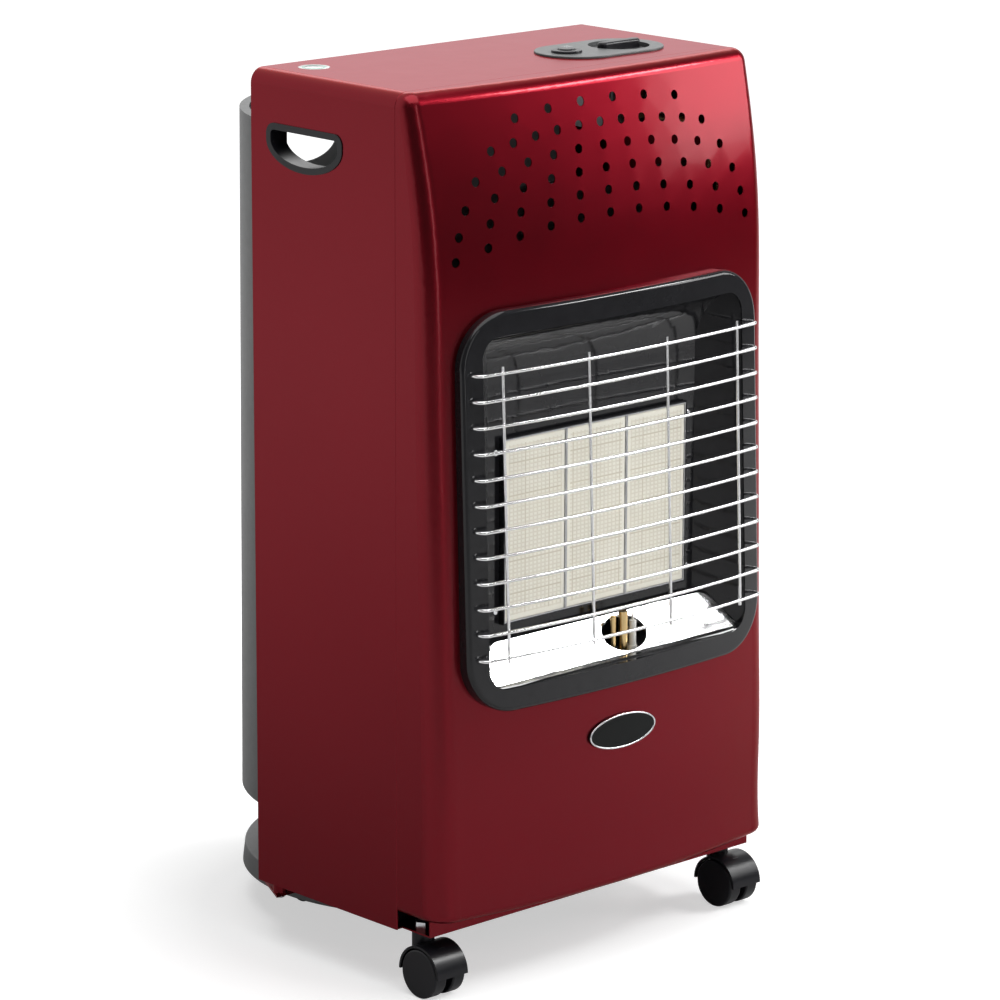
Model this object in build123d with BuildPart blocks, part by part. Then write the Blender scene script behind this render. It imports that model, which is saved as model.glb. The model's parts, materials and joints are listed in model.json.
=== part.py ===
from build123d import *
from math import atan2, cos, radians, sin, sqrt
import os

# Portable gas cabinet heater: an infrared burner behind a wire guard in the front of a
# steel cabinet on casters, with room behind it for the gas bottle.
#
# Millimetres, +Z up. The front faces -Y, x = 0 is the middle plane and z = 0 the floor.
# The origin lies on the floor in the middle of the heater's box. "Seam" is the upright
# plane where the front panel meets the cabinet shell; most depths are given from it.

os.makedirs("parts", exist_ok=True)

# ---------------------------------------------------------------- driving dimensions
# general
fit = 0.3                      # gap between pieces that only lie beside each other
slip = 0.05                    # radial gap of a turning or sliding fit

# cabinet shell
cabinet_width = 370.0
cabinet_height = 720.0         # floor to top
side_depth = 170.0             # seam to the back edge
floor_gap = 52.0               # floor to the shell's lower edge
sheet = 1.0                    # cabinet sheet
top_radius = 12.0              # rounded edges all round the top
seam_radius = 0.8              # bend beside the seam
seam_flange = 12.0             # flanges behind the seam, of the shell and of the panel
back_lip = 10.0                # flange above the cover
flange_foot = 70.0             # height where the flanges start

# front panel: depths are from the seam to the face at its two upright corners
panel_foot = 66.0              # height of the lower edge
panel_knee = 580.0             # the face is straight up to here, then bends back
panel_depth_foot = 53.0
panel_depth_knee = 38.0
panel_top_drop = 19.8          # bent back by this at the top
panel_top_curve = 1.65         # power of the bend above the knee
panel_bow_foot = 14.5          # the middle stands out past the corners by this
panel_bow_top = 9.0
panel_corner_foot = 22.0       # radius of the upright edges
panel_corner_top = 16.0        # at the top, without the bend
panel_corner_drop = 3.5        # the bend makes it this much less
panel_foot_radius = 6.0
panel_lip = 14.0               # lip turned in along the lower edge
panel_steps = 6                # sections below the knee
panel_top_steps = 3            # and above it

# vent holes above the window
vent_hole = 7.5
vent_rows = 6
vent_row_pitch = 17.5
vent_top = 699.7               # height of the top row in the middle
vent_arc = 603.0               # radius that each row follows
vent_fan_width = 158.7         # half axes of the ellipse that the rows end on
vent_fan_height = 121.0
vent_fan_centre = 598.3
vent_count = 11
vent_count_top = 6

# bezel around the window
window_z = 392.5               # height of the window's middle
bezel_width = 322.0
bezel_height = 318.0
bezel_corner = 44.0
bezel_flange = 19.0
bezel_inner_corner = 18.0
bezel_sheet = 1.2
bezel_roll = 4.0               # rounded outer edge
bezel_bow = 1120.0             # radius in plan
bezel_proud = 10.5             # panel face to bezel face
opening_margin = 8.0           # the panel's opening is this much inside the bezel
bezel_tab = 12.0

# wire guard
guard_bar = 2.8
guard_upright = 2.5
guard_bars = 12
guard_pitch = 20.45
guard_stand_off = 8.3          # bezel face to the bars' middle line
guard_half = 153.0             # half distance between the two holes of a bar
guard_bend = 7.0
guard_tail = 4.5               # bar behind the bezel's face
guard_uprights = 4
guard_upright_pitch = 85.5
guard_overrun = 5.0            # uprights past the end bars
guard_hole_gap = 0.1
guard_weld = 0.02              # bars to uprights

# reflector and mirror tray, depths in front of the seam
reflector_sheet = 0.8
reflector_flange = 164.0       # half size of its flange behind the panel
reflector_gap = 1.0            # window edge to reflector
reflector_corner = 16.0
reflector_back = 27.0          # depth of the back wall
reflector_back_half = 114.0    # half width of the back wall
reflector_flare_top = 50.0     # depth where the side walls start, at the top
reflector_flare_foot = 60.0    # and at the bottom
roof_drop = 46.0               # height of the curved roof
floor_front = 57.0             # depth where the floor starts to climb
floor_back = 36.0              # depth where the climb ends
floor_rise = 28.0
mirror_sheet = 1.2
mirror_lip = 7.0               # level strip in front of the slope
mirror_side_gap = 2.0
mirror_corner = 18.0
pilot_x = 18.0
pilot_hole_width = 48.0
pilot_hole_depth = 19.0

# burner
plaques = 3
plaque_width = 64.6
plaque_height = 146.5
plaque_depth = 13.0
burner_face = 31.5             # depth of the ceramic face in front of the seam
burner_z = 368.3               # height of the burner's middle
head_wall = 0.8
head_gap = 0.3                 # between two heads
head_proud = 0.5               # rim in front of the ceramic
head_chamber = 15.0            # gas space behind the ceramic
head_tab = 9.0
gasket_width = 3.0
gasket_thickness = 1.5
frame_sheet = 1.0
frame_margin = 10.0            # frame plate around the collar
frame_proud = 1.0              # collar in front of the ceramic
mixer_outer = 13.0
mixer_bore = 11.0
mixer_length = 36.0
mixer_flare = 18.0
injector_gap = 5.0
injector_hex = 10.0
injector_length = 14.0
injector_bore = 1.0
rail_height = 12.0             # square gas rail under the injectors
rail_length = 190.0
bracket_sheet = 1.5

# pilot
pilot_plate_width = 58.0
pilot_plate_depth = 27.0
pilot_body = 8.0
pilot_hex = 11.2               # across the corners
pilot_y = 45.0                 # depth in front of the seam
pilot_spacing = 11.0
pilot_height = 34.0            # above the bracket
thermocouple_diameter = 4.5
electrode_ceramic = 6.0
electrode_pin = 1.8

# gas pipes
pipe_diameter = 8.0
pipe_bore = 6.0
pipe_bend = 14.0
pilot_pipe_diameter = 4.0
pilot_pipe_bend = 9.0
riser_x = 150.0
pilot_riser_x = 160.0
riser_depth = 4.0              # both risers stand this far in front of the seam

# bottle bay
bay_radius = 155.0             # outside of the bottle tray and of the cover's foot
cover_sheet = 1.0
cover_foot = 100.0
cover_top = 671.0
cover_draft = 3.5              # the cover's radius at the top is this much less
cover_overlap = 6.0            # of its foot and the flanges beside the bottle bay
cover_rim = 8.0
grip_width = 62.0              # grip hole in the middle of the cover
grip_height = 29.0
grip_top = 634.0
hook_width = 20.0
hook_reach = 9.0
hook_heights = (180.0, 560.0)
base_sheet = 1.2
base_inset = 6.5               # base in front of the seam, in from the sides
base_reach = 32.0              # base in front of the seam
base_flange = 13.0
base_cut_gap = 2.0             # bottle tray to the base's cut-out, seen from above
tray_sheet = 1.5
tray_rim = 17.0                # height of its edge
tray_step = 5.5                # its floor lies this much below its border
tray_floor_radius = 127.0
tray_border = 132.0            # inner radius of the border
tray_flare = 2.0               # the edge spreads by this towards its foot
carrier_z = 39.5               # underside
carrier_sheet = 2.0
carrier_front = 152.0          # front edge behind the seam
carrier_shoulder = 38.0        # depth of the full-width part's taper
carrier_tongue = 220.0
carrier_end = 275.0            # back end behind the seam
carrier_side_gap = 4.0
spacer_diameter = 12.0
spacer_x = 172.0
spacer_y = 158.0
shield_depth = 12.0            # heat shield behind the seam
shield_sheet = 0.8
shield_top = 630.0
shield_flange = 10.0

# hand holes
hand_width = 84.0
hand_height = 30.0
hand_depth = 106.0             # middle of the hole behind the seam
hand_top = 677.0
hand_corner = 6.0
insert_wall = 2.0
insert_depth = 15.0
insert_lip = 3.0
insert_proud = 0.8

# controls on the top
fascia_length = 118.0
fascia_width = 70.0
fascia_thickness = 1.6
fascia_x = 86.0
controls_depth = 58.0          # middle line behind the seam
knob_x = 108.0
knob_diameter = 47.0
knob_thickness = 4.0
knob_sink = 3.0                # knob's disc below the fascia's face
knob_grip_width = 9.0
knob_grip_height = 7.0
knob_push = 4.0
dish_gap = 1.5                 # around the knob
dish_wall = 1.2
button_x = 50.0
button_diameter = 13.0
button_length = 18.0
button_proud = 1.0
button_travel = 6.0
igniter_ring = 25.0
igniter_ring_height = 2.0
igniter_dish = 1.4             # chamfer around the button
igniter_thread = 17.0
igniter_length = 48.0
igniter_nut = 24.0
igniter_nut_height = 5.0
spindle_diameter = 7.0
spindle_grip = 3.0             # spindle inside the knob
plug_diameter = 15.0
plug_height = 20.0
spindle_in_plug = 14.0
valve_width = 36.0
valve_depth = 32.0
valve_height = 32.0
valve_drop = 30.0              # cabinet top to the valve's top
valve_bracket_width = 40.0
nipple_diameter = 9.0
nipple_neck = 7.2
nipple_length = 34.0
nipple_barbs = 4

# casters
front_wheel = 40.0
rear_wheel = 30.0
wheel_width = 12.5
rear_wheel_width = 9.0
web_width = 6.0
web_gap = 0.4
web_share = 0.6                # web radius over wheel radius
front_trail = 12.0
rear_trail = 9.0
hood_wall = 2.0
hood_gap = 1.2
boss_diameter = 18.0
axle_diameter = 5.0
stem_diameter = 8.0
stem_seat = 0.8                # hood's bore past the stem's end
stem_hex = 13.0
stem_head = 5.3
stem_clearance = 15.6          # holes around the stem heads
front_caster_x = 166.0
front_caster_depth = -10.0     # behind the seam, so in front of it
rear_caster_x = 85.0
rear_caster_depth = 230.0

# trim and fasteners
badge_length = 73.0
badge_width = 28.0
badge_z = 194.0
badge_thickness = 1.8
screw_shank = 4.0
screw_head = 7.5
screw_head_height = 2.4
small_shank = 3.0
small_head = 5.5
small_head_height = 1.8
screw_grip = 3.0               # screw beyond the last sheet
seam_screw_foot = 120.0
seam_screw_middle = 400.0
seam_screw_drop = 60.0         # the highest at the sides, below the top
seam_screw_x = 100.0           # the two under the top
window_screw_step = 80.0       # from the window's middle lines
frame_screw_z = 64.0           # from the burner's middle

# ---------------------------------------------------------------- derived places
half = cabinet_width / 2
middle_foot = panel_depth_foot + panel_bow_foot
knee_share = (panel_knee - panel_foot) / (cabinet_height - panel_foot)
bow_knee = panel_bow_foot + (panel_bow_top - panel_bow_foot) * knee_share
middle_knee = panel_depth_knee + bow_knee
face_lean = atan2(middle_foot - middle_knee, panel_knee - panel_foot)
window_share = (window_z - panel_foot) / (panel_knee - panel_foot)
bezel_reach = middle_foot + (middle_knee - middle_foot) * window_share + bezel_proud
guard_rise = (guard_bars - 1) / 2 * guard_pitch
front_reach = (bezel_reach + guard_rise * sin(face_lean)
               + guard_stand_off * cos(face_lean) + guard_bar / 2)
rear_reach = side_depth + bay_radius
seam = (front_reach - rear_reach) / 2       # with the origin in the middle of the depth
back = seam + side_depth
inner_half = half - sheet
back_flange = half - bay_radius + cover_overlap      # beside the bottle bay
window_half_width = bezel_width / 2 - bezel_flange
window_half_height = bezel_height / 2 - bezel_flange
window_foot = window_z - window_half_height * cos(face_lean)
window_top = window_z + window_half_height * cos(face_lean)
head_width = plaque_width + 2 * head_wall
head_height = plaque_height + 2 * head_wall
head_step = head_width + head_gap
head_front = seam - burner_face - head_proud
plaque_back = seam - burner_face + plaque_depth
head_back = plaque_back + gasket_thickness + head_chamber + head_wall
collar_width = plaques * head_width + (plaques - 1) * head_gap + 2 * fit
collar_height = head_height + 2 * fit
reflector_wall = seam - reflector_back      # front face of the reflector's back wall
frame_plate = reflector_wall + reflector_sheet
head_names = ("left", "centre", "right")
sides = ("left", "right")
fascia_top = cabinet_height + fascia_thickness
dish_radius = knob_diameter / 2 + dish_gap
knob_under = fascia_top - knob_sink - knob_thickness
dish_floor = knob_under - knob_push - fit
carrier_top = carrier_z + carrier_sheet
controls_y = seam + controls_depth
valve_top = cabinet_height - valve_drop
mixer_y = plaque_back + gasket_thickness + head_chamber / 2
mixer_foot = burner_z - head_height / 2 - mixer_length
injector_tip = mixer_foot - injector_gap
rail_top = injector_tip - injector_length
pilot_plate_top = window_foot - reflector_sheet - fit


def save(part, label):
    """Name one finished piece and write it."""
    part.label = label
    export_step(part, f"parts/{label}.step")


def sign(side):
    return -1 if side == "left" else 1


def level(z):
    """Level plane: x to the right, y to the back, extrusions go up."""
    return Plane.XY.offset(z)


def upright(y):
    """Upright plane across the heater: x to the right, y up, extrusions come forwards."""
    return Plane.XZ.offset(-y)


def crossways(x):
    """Upright plane from front to back: x to the back, y up, extrusions go right."""
    return Plane.YZ.offset(x)


# The bezel and the guard are built on the leaning face: x to the right, y up the face and
# z outwards, with the origin in the middle of the bezel's face.
face = Plane(origin=(0, seam - bezel_reach, window_z), x_dir=(1, 0, 0),
             z_dir=(0, -cos(face_lean), sin(face_lean)))
face_plan = Plane(origin=face.origin, x_dir=face.x_dir, z_dir=-face.y_dir)


def bow_sag(x):
    """How far the bowed face lies behind its middle at x."""
    return bezel_bow - sqrt(bezel_bow ** 2 - x ** 2)


def on_face(x, up, out):
    """The point at x, up the face and outwards from the bezel's middle."""
    return face.from_local_coords(Vector(x, up, out))


def behind_bow(offset):
    """Everything behind the bowed face after the face is moved outwards by the offset."""
    reach = 3 * bezel_width / 4
    depth = bezel_width / 4
    edge = offset - bow_sag(reach)
    with BuildPart() as block:
        with BuildSketch(face_plan):
            with BuildLine():
                Line((-reach, -depth), (reach, -depth))
                Line((reach, -depth), (reach, edge))
                ThreePointArc((reach, edge), (0, offset), (-reach, edge))
                Line((-reach, edge), (-reach, -depth))
            make_face()
        extrude(amount=bezel_height, both=True)
    return block.part


# ---------------------------------------------------------------- front panel
def panel_share(z, top):
    return (z - panel_foot) / (top - panel_foot)


def top_bend(z):
    """Share of the bend above the knee, from 0 at the knee to 1 at the top."""
    return (max(0.0, z - panel_knee) / (cabinet_height - panel_knee)) ** panel_top_curve


def panel_depth(z):
    """Depth of the face at its upright corners."""
    straight = panel_depth_foot + (panel_depth_knee - panel_depth_foot) * panel_share(z, panel_knee)
    return straight - panel_top_drop * top_bend(z)


def panel_bow(z):
    return panel_bow_foot + (panel_bow_top - panel_bow_foot) * panel_share(z, cabinet_height)


def panel_corner(z):
    share = panel_share(z, cabinet_height)
    straight = panel_corner_foot + (panel_corner_top - panel_corner_foot) * share
    return straight - panel_corner_drop * top_bend(z)


def panel_rear(inset):
    """Back of the panel's form; it moves in by no more than the sheet."""
    return seam - min(inset, sheet)


def panel_section(z, inset):
    """Plan of the front panel at one height, offset inwards by the inset."""
    side = half - inset
    radius = panel_corner(z) - inset
    rear = panel_rear(inset)
    edge = seam - panel_depth(z) + inset
    centre = side - radius
    turn = radius * cos(radians(45))
    with BuildSketch(level(z)) as section:
        with BuildLine():
            Line((side, rear), (side, edge + radius))
            ThreePointArc((side, edge + radius),
                          (centre + turn, edge + radius - turn), (centre, edge))
            ThreePointArc((centre, edge), (0, edge - panel_bow(z)), (-centre, edge))
            ThreePointArc((-centre, edge),
                          (-centre - turn, edge + radius - turn), (-side, edge + radius))
            Line((-side, edge + radius), (-side, rear))
            Line((-side, rear), (side, rear))
        make_face()
    return section.sketch


def panel_heights(inset):
    """Heights of the sections: evenly up to the knee, then closer up to the top."""
    foot = panel_foot + inset
    top = cabinet_height - inset
    rise = (panel_knee - foot) / panel_steps
    bend = (top - panel_knee) / panel_top_steps
    straight = [foot + rise * n for n in range(panel_steps + 1)]
    return straight + [panel_knee + bend * (n + 1) for n in range(panel_top_steps)]


def panel_block(inset):
    """Solid form of the front panel, offset inwards by the inset."""
    with BuildPart() as block:
        for z in panel_heights(inset):
            add(panel_section(z, inset))
        loft()
        rear = panel_rear(inset) - fit
        top_rim = block.faces().sort_by(Axis.Z)[-1].edges()
        fillet([e for e in top_rim if e.center().Y < rear], top_radius - inset)
        foot_rim = block.faces().sort_by(Axis.Z)[0].edges()
        fillet([e for e in foot_rim if e.center().Y < rear], panel_foot_radius - inset)
    return block.part


def vent_places():
    """Vent holes as x and height: bowed rows that end on an ellipse."""
    places = []
    for row in range(vent_rows):
        crown = vent_top - row * vent_row_pitch
        rise = (crown - vent_fan_centre) / vent_fan_height
        reach = vent_fan_width * sqrt(1 - rise ** 2)
        count = vent_count_top if row == 0 else vent_count
        for hole in range(count):
            x = -reach + 2 * reach * hole / (count - 1)
            places.append((x, crown - (vent_arc - sqrt(vent_arc ** 2 - x ** 2))))
    return places


def seam_screws():
    """Screws through both seam flanges, as x and height."""
    x = inner_half - seam_flange / 2
    heights = (seam_screw_foot, seam_screw_middle, cabinet_height - seam_screw_drop)
    places = [(side * x, z) for side in (-1, 1) for z in heights]
    z = cabinet_height - sheet - seam_flange / 2
    return places + [(-seam_screw_x, z), (seam_screw_x, z)]


def window_screws():
    """Screws that hold the reflector, the panel and the bezel together, on the face."""
    x = bezel_width / 2 - bezel_tab / 2 - bezel_sheet
    up = bezel_height / 2 - bezel_tab / 2 - bezel_sheet
    rows = (-window_screw_step, window_screw_step)
    places = [(side * x, row) for side in (-1, 1) for row in rows]
    return places + [(column, side * up) for side in (-1, 1) for column in rows]


def make_front_panel():
    with BuildPart() as front_panel:
        add(panel_outer)
        add(panel_inner, mode=Mode.SUBTRACT)
        # the back is open inside the seam flange, down through the foot
        with BuildSketch(upright(seam)):
            wide = cabinet_width - 2 * (sheet + seam_flange)
            high = cabinet_height - sheet - seam_flange - panel_foot
            with Locations((0, panel_foot + high / 2)):
                Rectangle(wide, high)
        extrude(amount=2 * sheet, both=True, mode=Mode.SUBTRACT)
        with BuildSketch(level(panel_foot)):
            deep = panel_depth_foot - panel_lip
            with Locations((0, seam - deep / 2)):
                Rectangle(cabinet_width - 2 * panel_lip, deep)
        extrude(amount=2 * sheet, both=True, mode=Mode.SUBTRACT)
        # window
        with BuildSketch(face):
            RectangleRounded(bezel_width - 2 * opening_margin,
                             bezel_height - 2 * opening_margin,
                             bezel_corner - opening_margin)
        extrude(amount=-panel_depth_foot, mode=Mode.SUBTRACT)
        # vent holes
        with BuildSketch(upright(seam)):
            with Locations(*vent_places()):
                Circle(vent_hole / 2)
        extrude(amount=middle_foot, mode=Mode.SUBTRACT)
        # screw holes
        with BuildSketch(upright(seam)):
            with Locations(*seam_screws()):
                Circle(screw_shank / 2)
        extrude(amount=2 * sheet, mode=Mode.SUBTRACT)
        with BuildSketch(face):
            with Locations(*window_screws()):
                Circle(screw_shank / 2)
        extrude(amount=-panel_depth_foot, mode=Mode.SUBTRACT)
    save(front_panel.part, "front_panel")


# ---------------------------------------------------------------- cabinet shell
def shell_outline(inset):
    """The shell seen from the front; with an inset it is open at the foot."""
    wide = cabinet_width - 2 * inset
    foot = floor_gap - 2 * inset
    high = cabinet_height - inset - foot
    with BuildSketch() as outline:
        with Locations((0, foot + high / 2)):
            Rectangle(wide, high)
        fillet(outline.vertices().sort_by(Axis.Y)[-2:], top_radius - inset)
    return outline.sketch


def hand_outline(grow, width=hand_width, height=hand_height):
    """Hand hole about its own middle: flat above, half an ellipse below."""
    wide = width / 2 + grow
    shoulder = height / 6
    with BuildSketch() as outline:
        with Locations((0, shoulder)):
            Ellipse(wide, height / 2 + shoulder + grow)
        with Locations((0, shoulder + wide)):
            Rectangle(3 * wide, 2 * wide, mode=Mode.SUBTRACT)
        with Locations((0, (shoulder + height / 2 + grow) / 2)):
            Rectangle(2 * wide, height / 2 + grow - shoulder)
        fillet(outline.vertices().sort_by(Axis.Y)[-2:], hand_corner + grow)
    return outline.sketch


def hand_plane(side, x):
    """Plane beside a hand hole at a distance x from the middle, extrusions go outwards."""
    turn = sign(side)
    return Plane(origin=(turn * x, seam + hand_depth, hand_top - hand_height / 2),
                 x_dir=(0, turn, 0), z_dir=(turn, 0, 0))


def cover_radius(z):
    """Outside of the slightly tapered cover at one height."""
    return bay_radius - cover_draft * (z - cover_foot) / (cover_top - cover_foot)


def hook_places():
    """Middles of the cover's hooks, as x and height."""
    return [(side * (cover_radius(z) - cover_sheet / 2), z)
            for side in (-1, 1) for z in hook_heights]


def make_cabinet_shell():
    with BuildPart() as cabinet_shell:
        with BuildSketch(upright(seam)):
            add(shell_outline(0))
            add(shell_outline(sheet), mode=Mode.SUBTRACT)
        extrude(amount=-side_depth)
        # seam flange
        with BuildSketch(upright(seam)):
            add(shell_outline(sheet / 2))
            with Locations((0, (cabinet_height - sheet - seam_flange) / 2)):
                Rectangle(cabinet_width - 2 * (sheet + seam_flange),
                          cabinet_height - sheet - seam_flange, mode=Mode.SUBTRACT)
            with Locations((0, flange_foot / 2)):
                Rectangle(cabinet_width, flange_foot, mode=Mode.SUBTRACT)
        extrude(amount=-sheet)
        # back flanges: wide beside the cover and narrow above it
        with BuildSketch(upright(back)):
            for side in (-1, 1):
                high = cover_top - flange_foot
                with Locations((side * (half - back_flange / 2), flange_foot + high / 2)):
                    Rectangle(back_flange, high)
                high = cabinet_height - top_radius - cover_top
                with Locations((side * (half - back_lip / 2), cover_top + high / 2)):
                    Rectangle(back_lip, high)
            with Locations((0, cabinet_height - back_lip / 2)):
                Rectangle(cabinet_width - 2 * top_radius, back_lip)
        extrude(amount=sheet)
        # slots for the cover's hooks
        with BuildSketch(upright(back)):
            with Locations(*hook_places()):
                Rectangle(cover_sheet + 2 * fit, hook_width + 2 * fit)
        extrude(amount=2 * sheet, mode=Mode.SUBTRACT)
        # screw holes of the seam
        with BuildSketch(upright(seam)):
            with Locations(*seam_screws()):
                Circle(screw_shank / 2)
        extrude(amount=-2 * sheet, mode=Mode.SUBTRACT)
        # hand holes
        for side in sides:
            with BuildSketch(hand_plane(side, half - 2 * sheet)):
                add(hand_outline(0))
            extrude(amount=3 * sheet, mode=Mode.SUBTRACT)
        # holes for the controls
        with BuildSketch(level(cabinet_height - 2 * sheet)):
            with Locations((knob_x, controls_y)):
                Circle(dish_radius + dish_wall + fit)
            with Locations((button_x, controls_y)):
                Circle(igniter_thread / 2 + fit)
        extrude(amount=3 * sheet, mode=Mode.SUBTRACT)
        # small bend along the seam, down both sides and over the top
        rim = cabinet_shell.edges().filter_by_position(Axis.Y, seam - sheet / 4,
                                                       seam + sheet / 4)
        outer = [e for e in rim if abs(e.center().X) > half - sheet / 4
                 or e.center().Z > cabinet_height - sheet / 4
                 or (e.geom_type == GeomType.CIRCLE and e.radius > top_radius - sheet / 4)]
        fillet(outer, seam_radius)
    save(cabinet_shell.part, "cabinet_shell")


def make_hand_insert(side):
    """Plastic sleeve that clips into a hand hole."""
    with BuildPart() as hand_insert:
        with BuildSketch(hand_plane(side, half - insert_depth)):
            add(hand_outline(-fit))
        extrude(amount=insert_depth)
        with BuildSketch(hand_plane(side, half)):
            add(hand_outline(insert_lip))
        extrude(amount=insert_proud)
        with BuildSketch(hand_plane(side, half - insert_depth)):
            add(hand_outline(-fit - insert_wall))
        extrude(amount=insert_depth + insert_proud, mode=Mode.SUBTRACT)
    save(hand_insert.part, f"hand_insert_{side}")


# ---------------------------------------------------------------- bezel and guard
def bar_heights():
    return [(row - (guard_bars - 1) / 2) * guard_pitch for row in range(guard_bars)]


def upright_places():
    return [(n - (guard_uprights - 1) / 2) * guard_upright_pitch
            for n in range(guard_uprights)]


def make_bezel():
    skin = behind_bow(0)
    hollow = behind_bow(-bezel_sheet)
    with BuildPart() as channel:
        with BuildSketch(face.offset(-panel_depth_foot)):
            RectangleRounded(bezel_width - 2 * bezel_sheet, bezel_height - 2 * bezel_sheet,
                             bezel_corner - bezel_sheet)
        extrude(amount=panel_depth_foot)
        add(hollow, mode=Mode.INTERSECT)
    with BuildPart() as tabs:
        with BuildSketch(face.offset(-panel_depth_foot)):
            with Locations(*window_screws()):
                Rectangle(bezel_tab, bezel_tab)
            with Locations(*window_screws()):
                Circle(screw_shank / 2, mode=Mode.SUBTRACT)
        extrude(amount=panel_depth_foot)
        add(panel_block(-bezel_sheet), mode=Mode.INTERSECT)
        add(panel_outer, mode=Mode.SUBTRACT)
    with BuildPart() as bezel_frame:
        with BuildSketch(face.offset(-panel_depth_foot)):
            RectangleRounded(bezel_width, bezel_height, bezel_corner)
        extrude(amount=panel_depth_foot)
        add(skin, mode=Mode.INTERSECT)
        front = bezel_frame.faces().filter_by(GeomType.CYLINDER).sort_by(SortBy.AREA)[-1]
        fillet(front.edges(), bezel_roll)
        add(channel.part, mode=Mode.SUBTRACT)
        with BuildSketch(face.offset(-panel_depth_foot)):
            RectangleRounded(2 * window_half_width, 2 * window_half_height,
                             bezel_inner_corner)
        extrude(amount=2 * panel_depth_foot, mode=Mode.SUBTRACT)
        add(panel_outer, mode=Mode.SUBTRACT)
        # one hole for each end of each bar
        with BuildSketch(face.offset(-panel_depth_foot)):
            with Locations(*[(side * guard_half, up) for side in (-1, 1)
                             for up in bar_heights()]):
                Circle(guard_bar / 2 + guard_hole_gap)
        extrude(amount=2 * panel_depth_foot, mode=Mode.SUBTRACT)
        add(tabs.part)
    save(bezel_frame.part, "bezel_frame")


def guard_bar_solid():
    """One bar at the window's middle height: bowed, with both ends turned back."""
    edge = guard_stand_off - bow_sag(guard_half)
    tail = -bow_sag(guard_half) - guard_tail
    with BuildPart() as bar:
        with BuildLine(face_plan) as path:
            Line((-guard_half, tail), (-guard_half, edge))
            ThreePointArc((-guard_half, edge), (0, guard_stand_off), (guard_half, edge))
            Line((guard_half, edge), (guard_half, tail))
            corners = [v for v in path.vertices() if abs(abs(v.X) - guard_half) < fit]
            front = sorted(corners, key=lambda v: v.Y)[:2]
            fillet(front, guard_bend)
        with BuildSketch(Plane(origin=on_face(-guard_half, 0, tail), x_dir=face.x_dir,
                               z_dir=face.z_dir)):
            Circle(guard_bar / 2)
        sweep()
    return bar.part


def make_guard():
    bar = guard_bar_solid()
    with BuildPart() as guard_bars_part:
        with Locations(*[face.y_dir * up for up in bar_heights()]):
            add(bar)
    save(guard_bars_part.part, "guard_bars")
    length = 2 * (guard_rise + guard_overrun)
    inward = (guard_bar + guard_upright) / 2 + guard_weld
    with BuildPart() as guard_uprights_part:
        for x in upright_places():
            start = on_face(x, -length / 2, guard_stand_off - bow_sag(x) - inward)
            with BuildSketch(Plane(origin=start, x_dir=face.x_dir, z_dir=face.y_dir)):
                Circle(guard_upright / 2)
            extrude(amount=length)
    save(guard_uprights_part.part, "guard_uprights")


# ---------------------------------------------------------------- reflector
def reflector_side(grow):
    """The reflector's space seen from the side, grown by one sheet for its outside."""
    floor = window_foot - grow
    roof = window_top + grow
    rear = reflector_wall + grow
    deep = reflector_flare_top - reflector_back
    with BuildSketch(crossways(-half)) as outline:
        with BuildLine():
            Line((seam - front_reach, roof), (rear - deep - grow, roof))
            EllipticalCenterArc((rear - deep - grow, roof - roof_drop - grow),
                                deep + grow, roof_drop + grow, 0, arc_size=90)
            Polyline((rear, roof - roof_drop - grow), (rear, floor + floor_rise),
                     (seam - floor_back + grow / 2, floor + floor_rise),
                     (seam - floor_front + grow / 2, floor),
                     (seam - front_reach, floor), (seam - front_reach, roof))
        make_face()
    return outline.sketch


def reflector_plan(z, flare, grow):
    """The reflector's space seen from above at one height."""
    mouth = window_half_width + reflector_gap + grow
    rear = reflector_back_half + grow
    with BuildSketch(level(z)) as outline:
        with BuildLine():
            Polyline((-mouth, seam - front_reach), (-mouth, seam - flare),
                     (-rear, reflector_wall + grow), (rear, reflector_wall + grow),
                     (mouth, seam - flare), (mouth, seam - front_reach), close=True)
        make_face()
    return outline.sketch


def reflector_space(grow):
    with BuildPart() as plan:
        add(reflector_plan(window_foot - top_radius, reflector_flare_foot, grow))
        add(reflector_plan(window_top + top_radius, reflector_flare_top, grow))
        loft(ruled=True)
    # the mouth's corners are round, like the bezel's
    mouth_corner = reflector_corner + reflector_gap + grow
    with BuildPart() as mouth:
        with BuildSketch(face.offset(-front_reach)):
            RectangleRounded(2 * (window_half_width + reflector_gap + grow),
                             2 * (window_half_height + reflector_gap + grow), mouth_corner)
        extrude(amount=2 * front_reach)
    side = reflector_side(grow)
    with BuildPart() as space:
        extrude(side, amount=cabinet_width)
        add(plan.part, mode=Mode.INTERSECT)
        add(mouth.part, mode=Mode.INTERSECT)
    return space.part


def pilot_opening():
    """Oval hole in the mirror tray and in the reflector's floor."""
    with BuildSketch(level(window_foot - reflector_gap)) as opening:
        with Locations((pilot_x, seam - (floor_front + floor_back) / 2)):
            Ellipse(pilot_hole_width / 2, pilot_hole_depth / 2)
    return opening.sketch


def frame_screws():
    """Screws beside the burner, as x and height."""
    x = collar_width / 2 + frame_sheet + frame_margin / 2 - fit
    rows = (burner_z - frame_screw_z, burner_z + frame_screw_z)
    return [(side * x, z) for side in (-1, 1) for z in rows]


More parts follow.
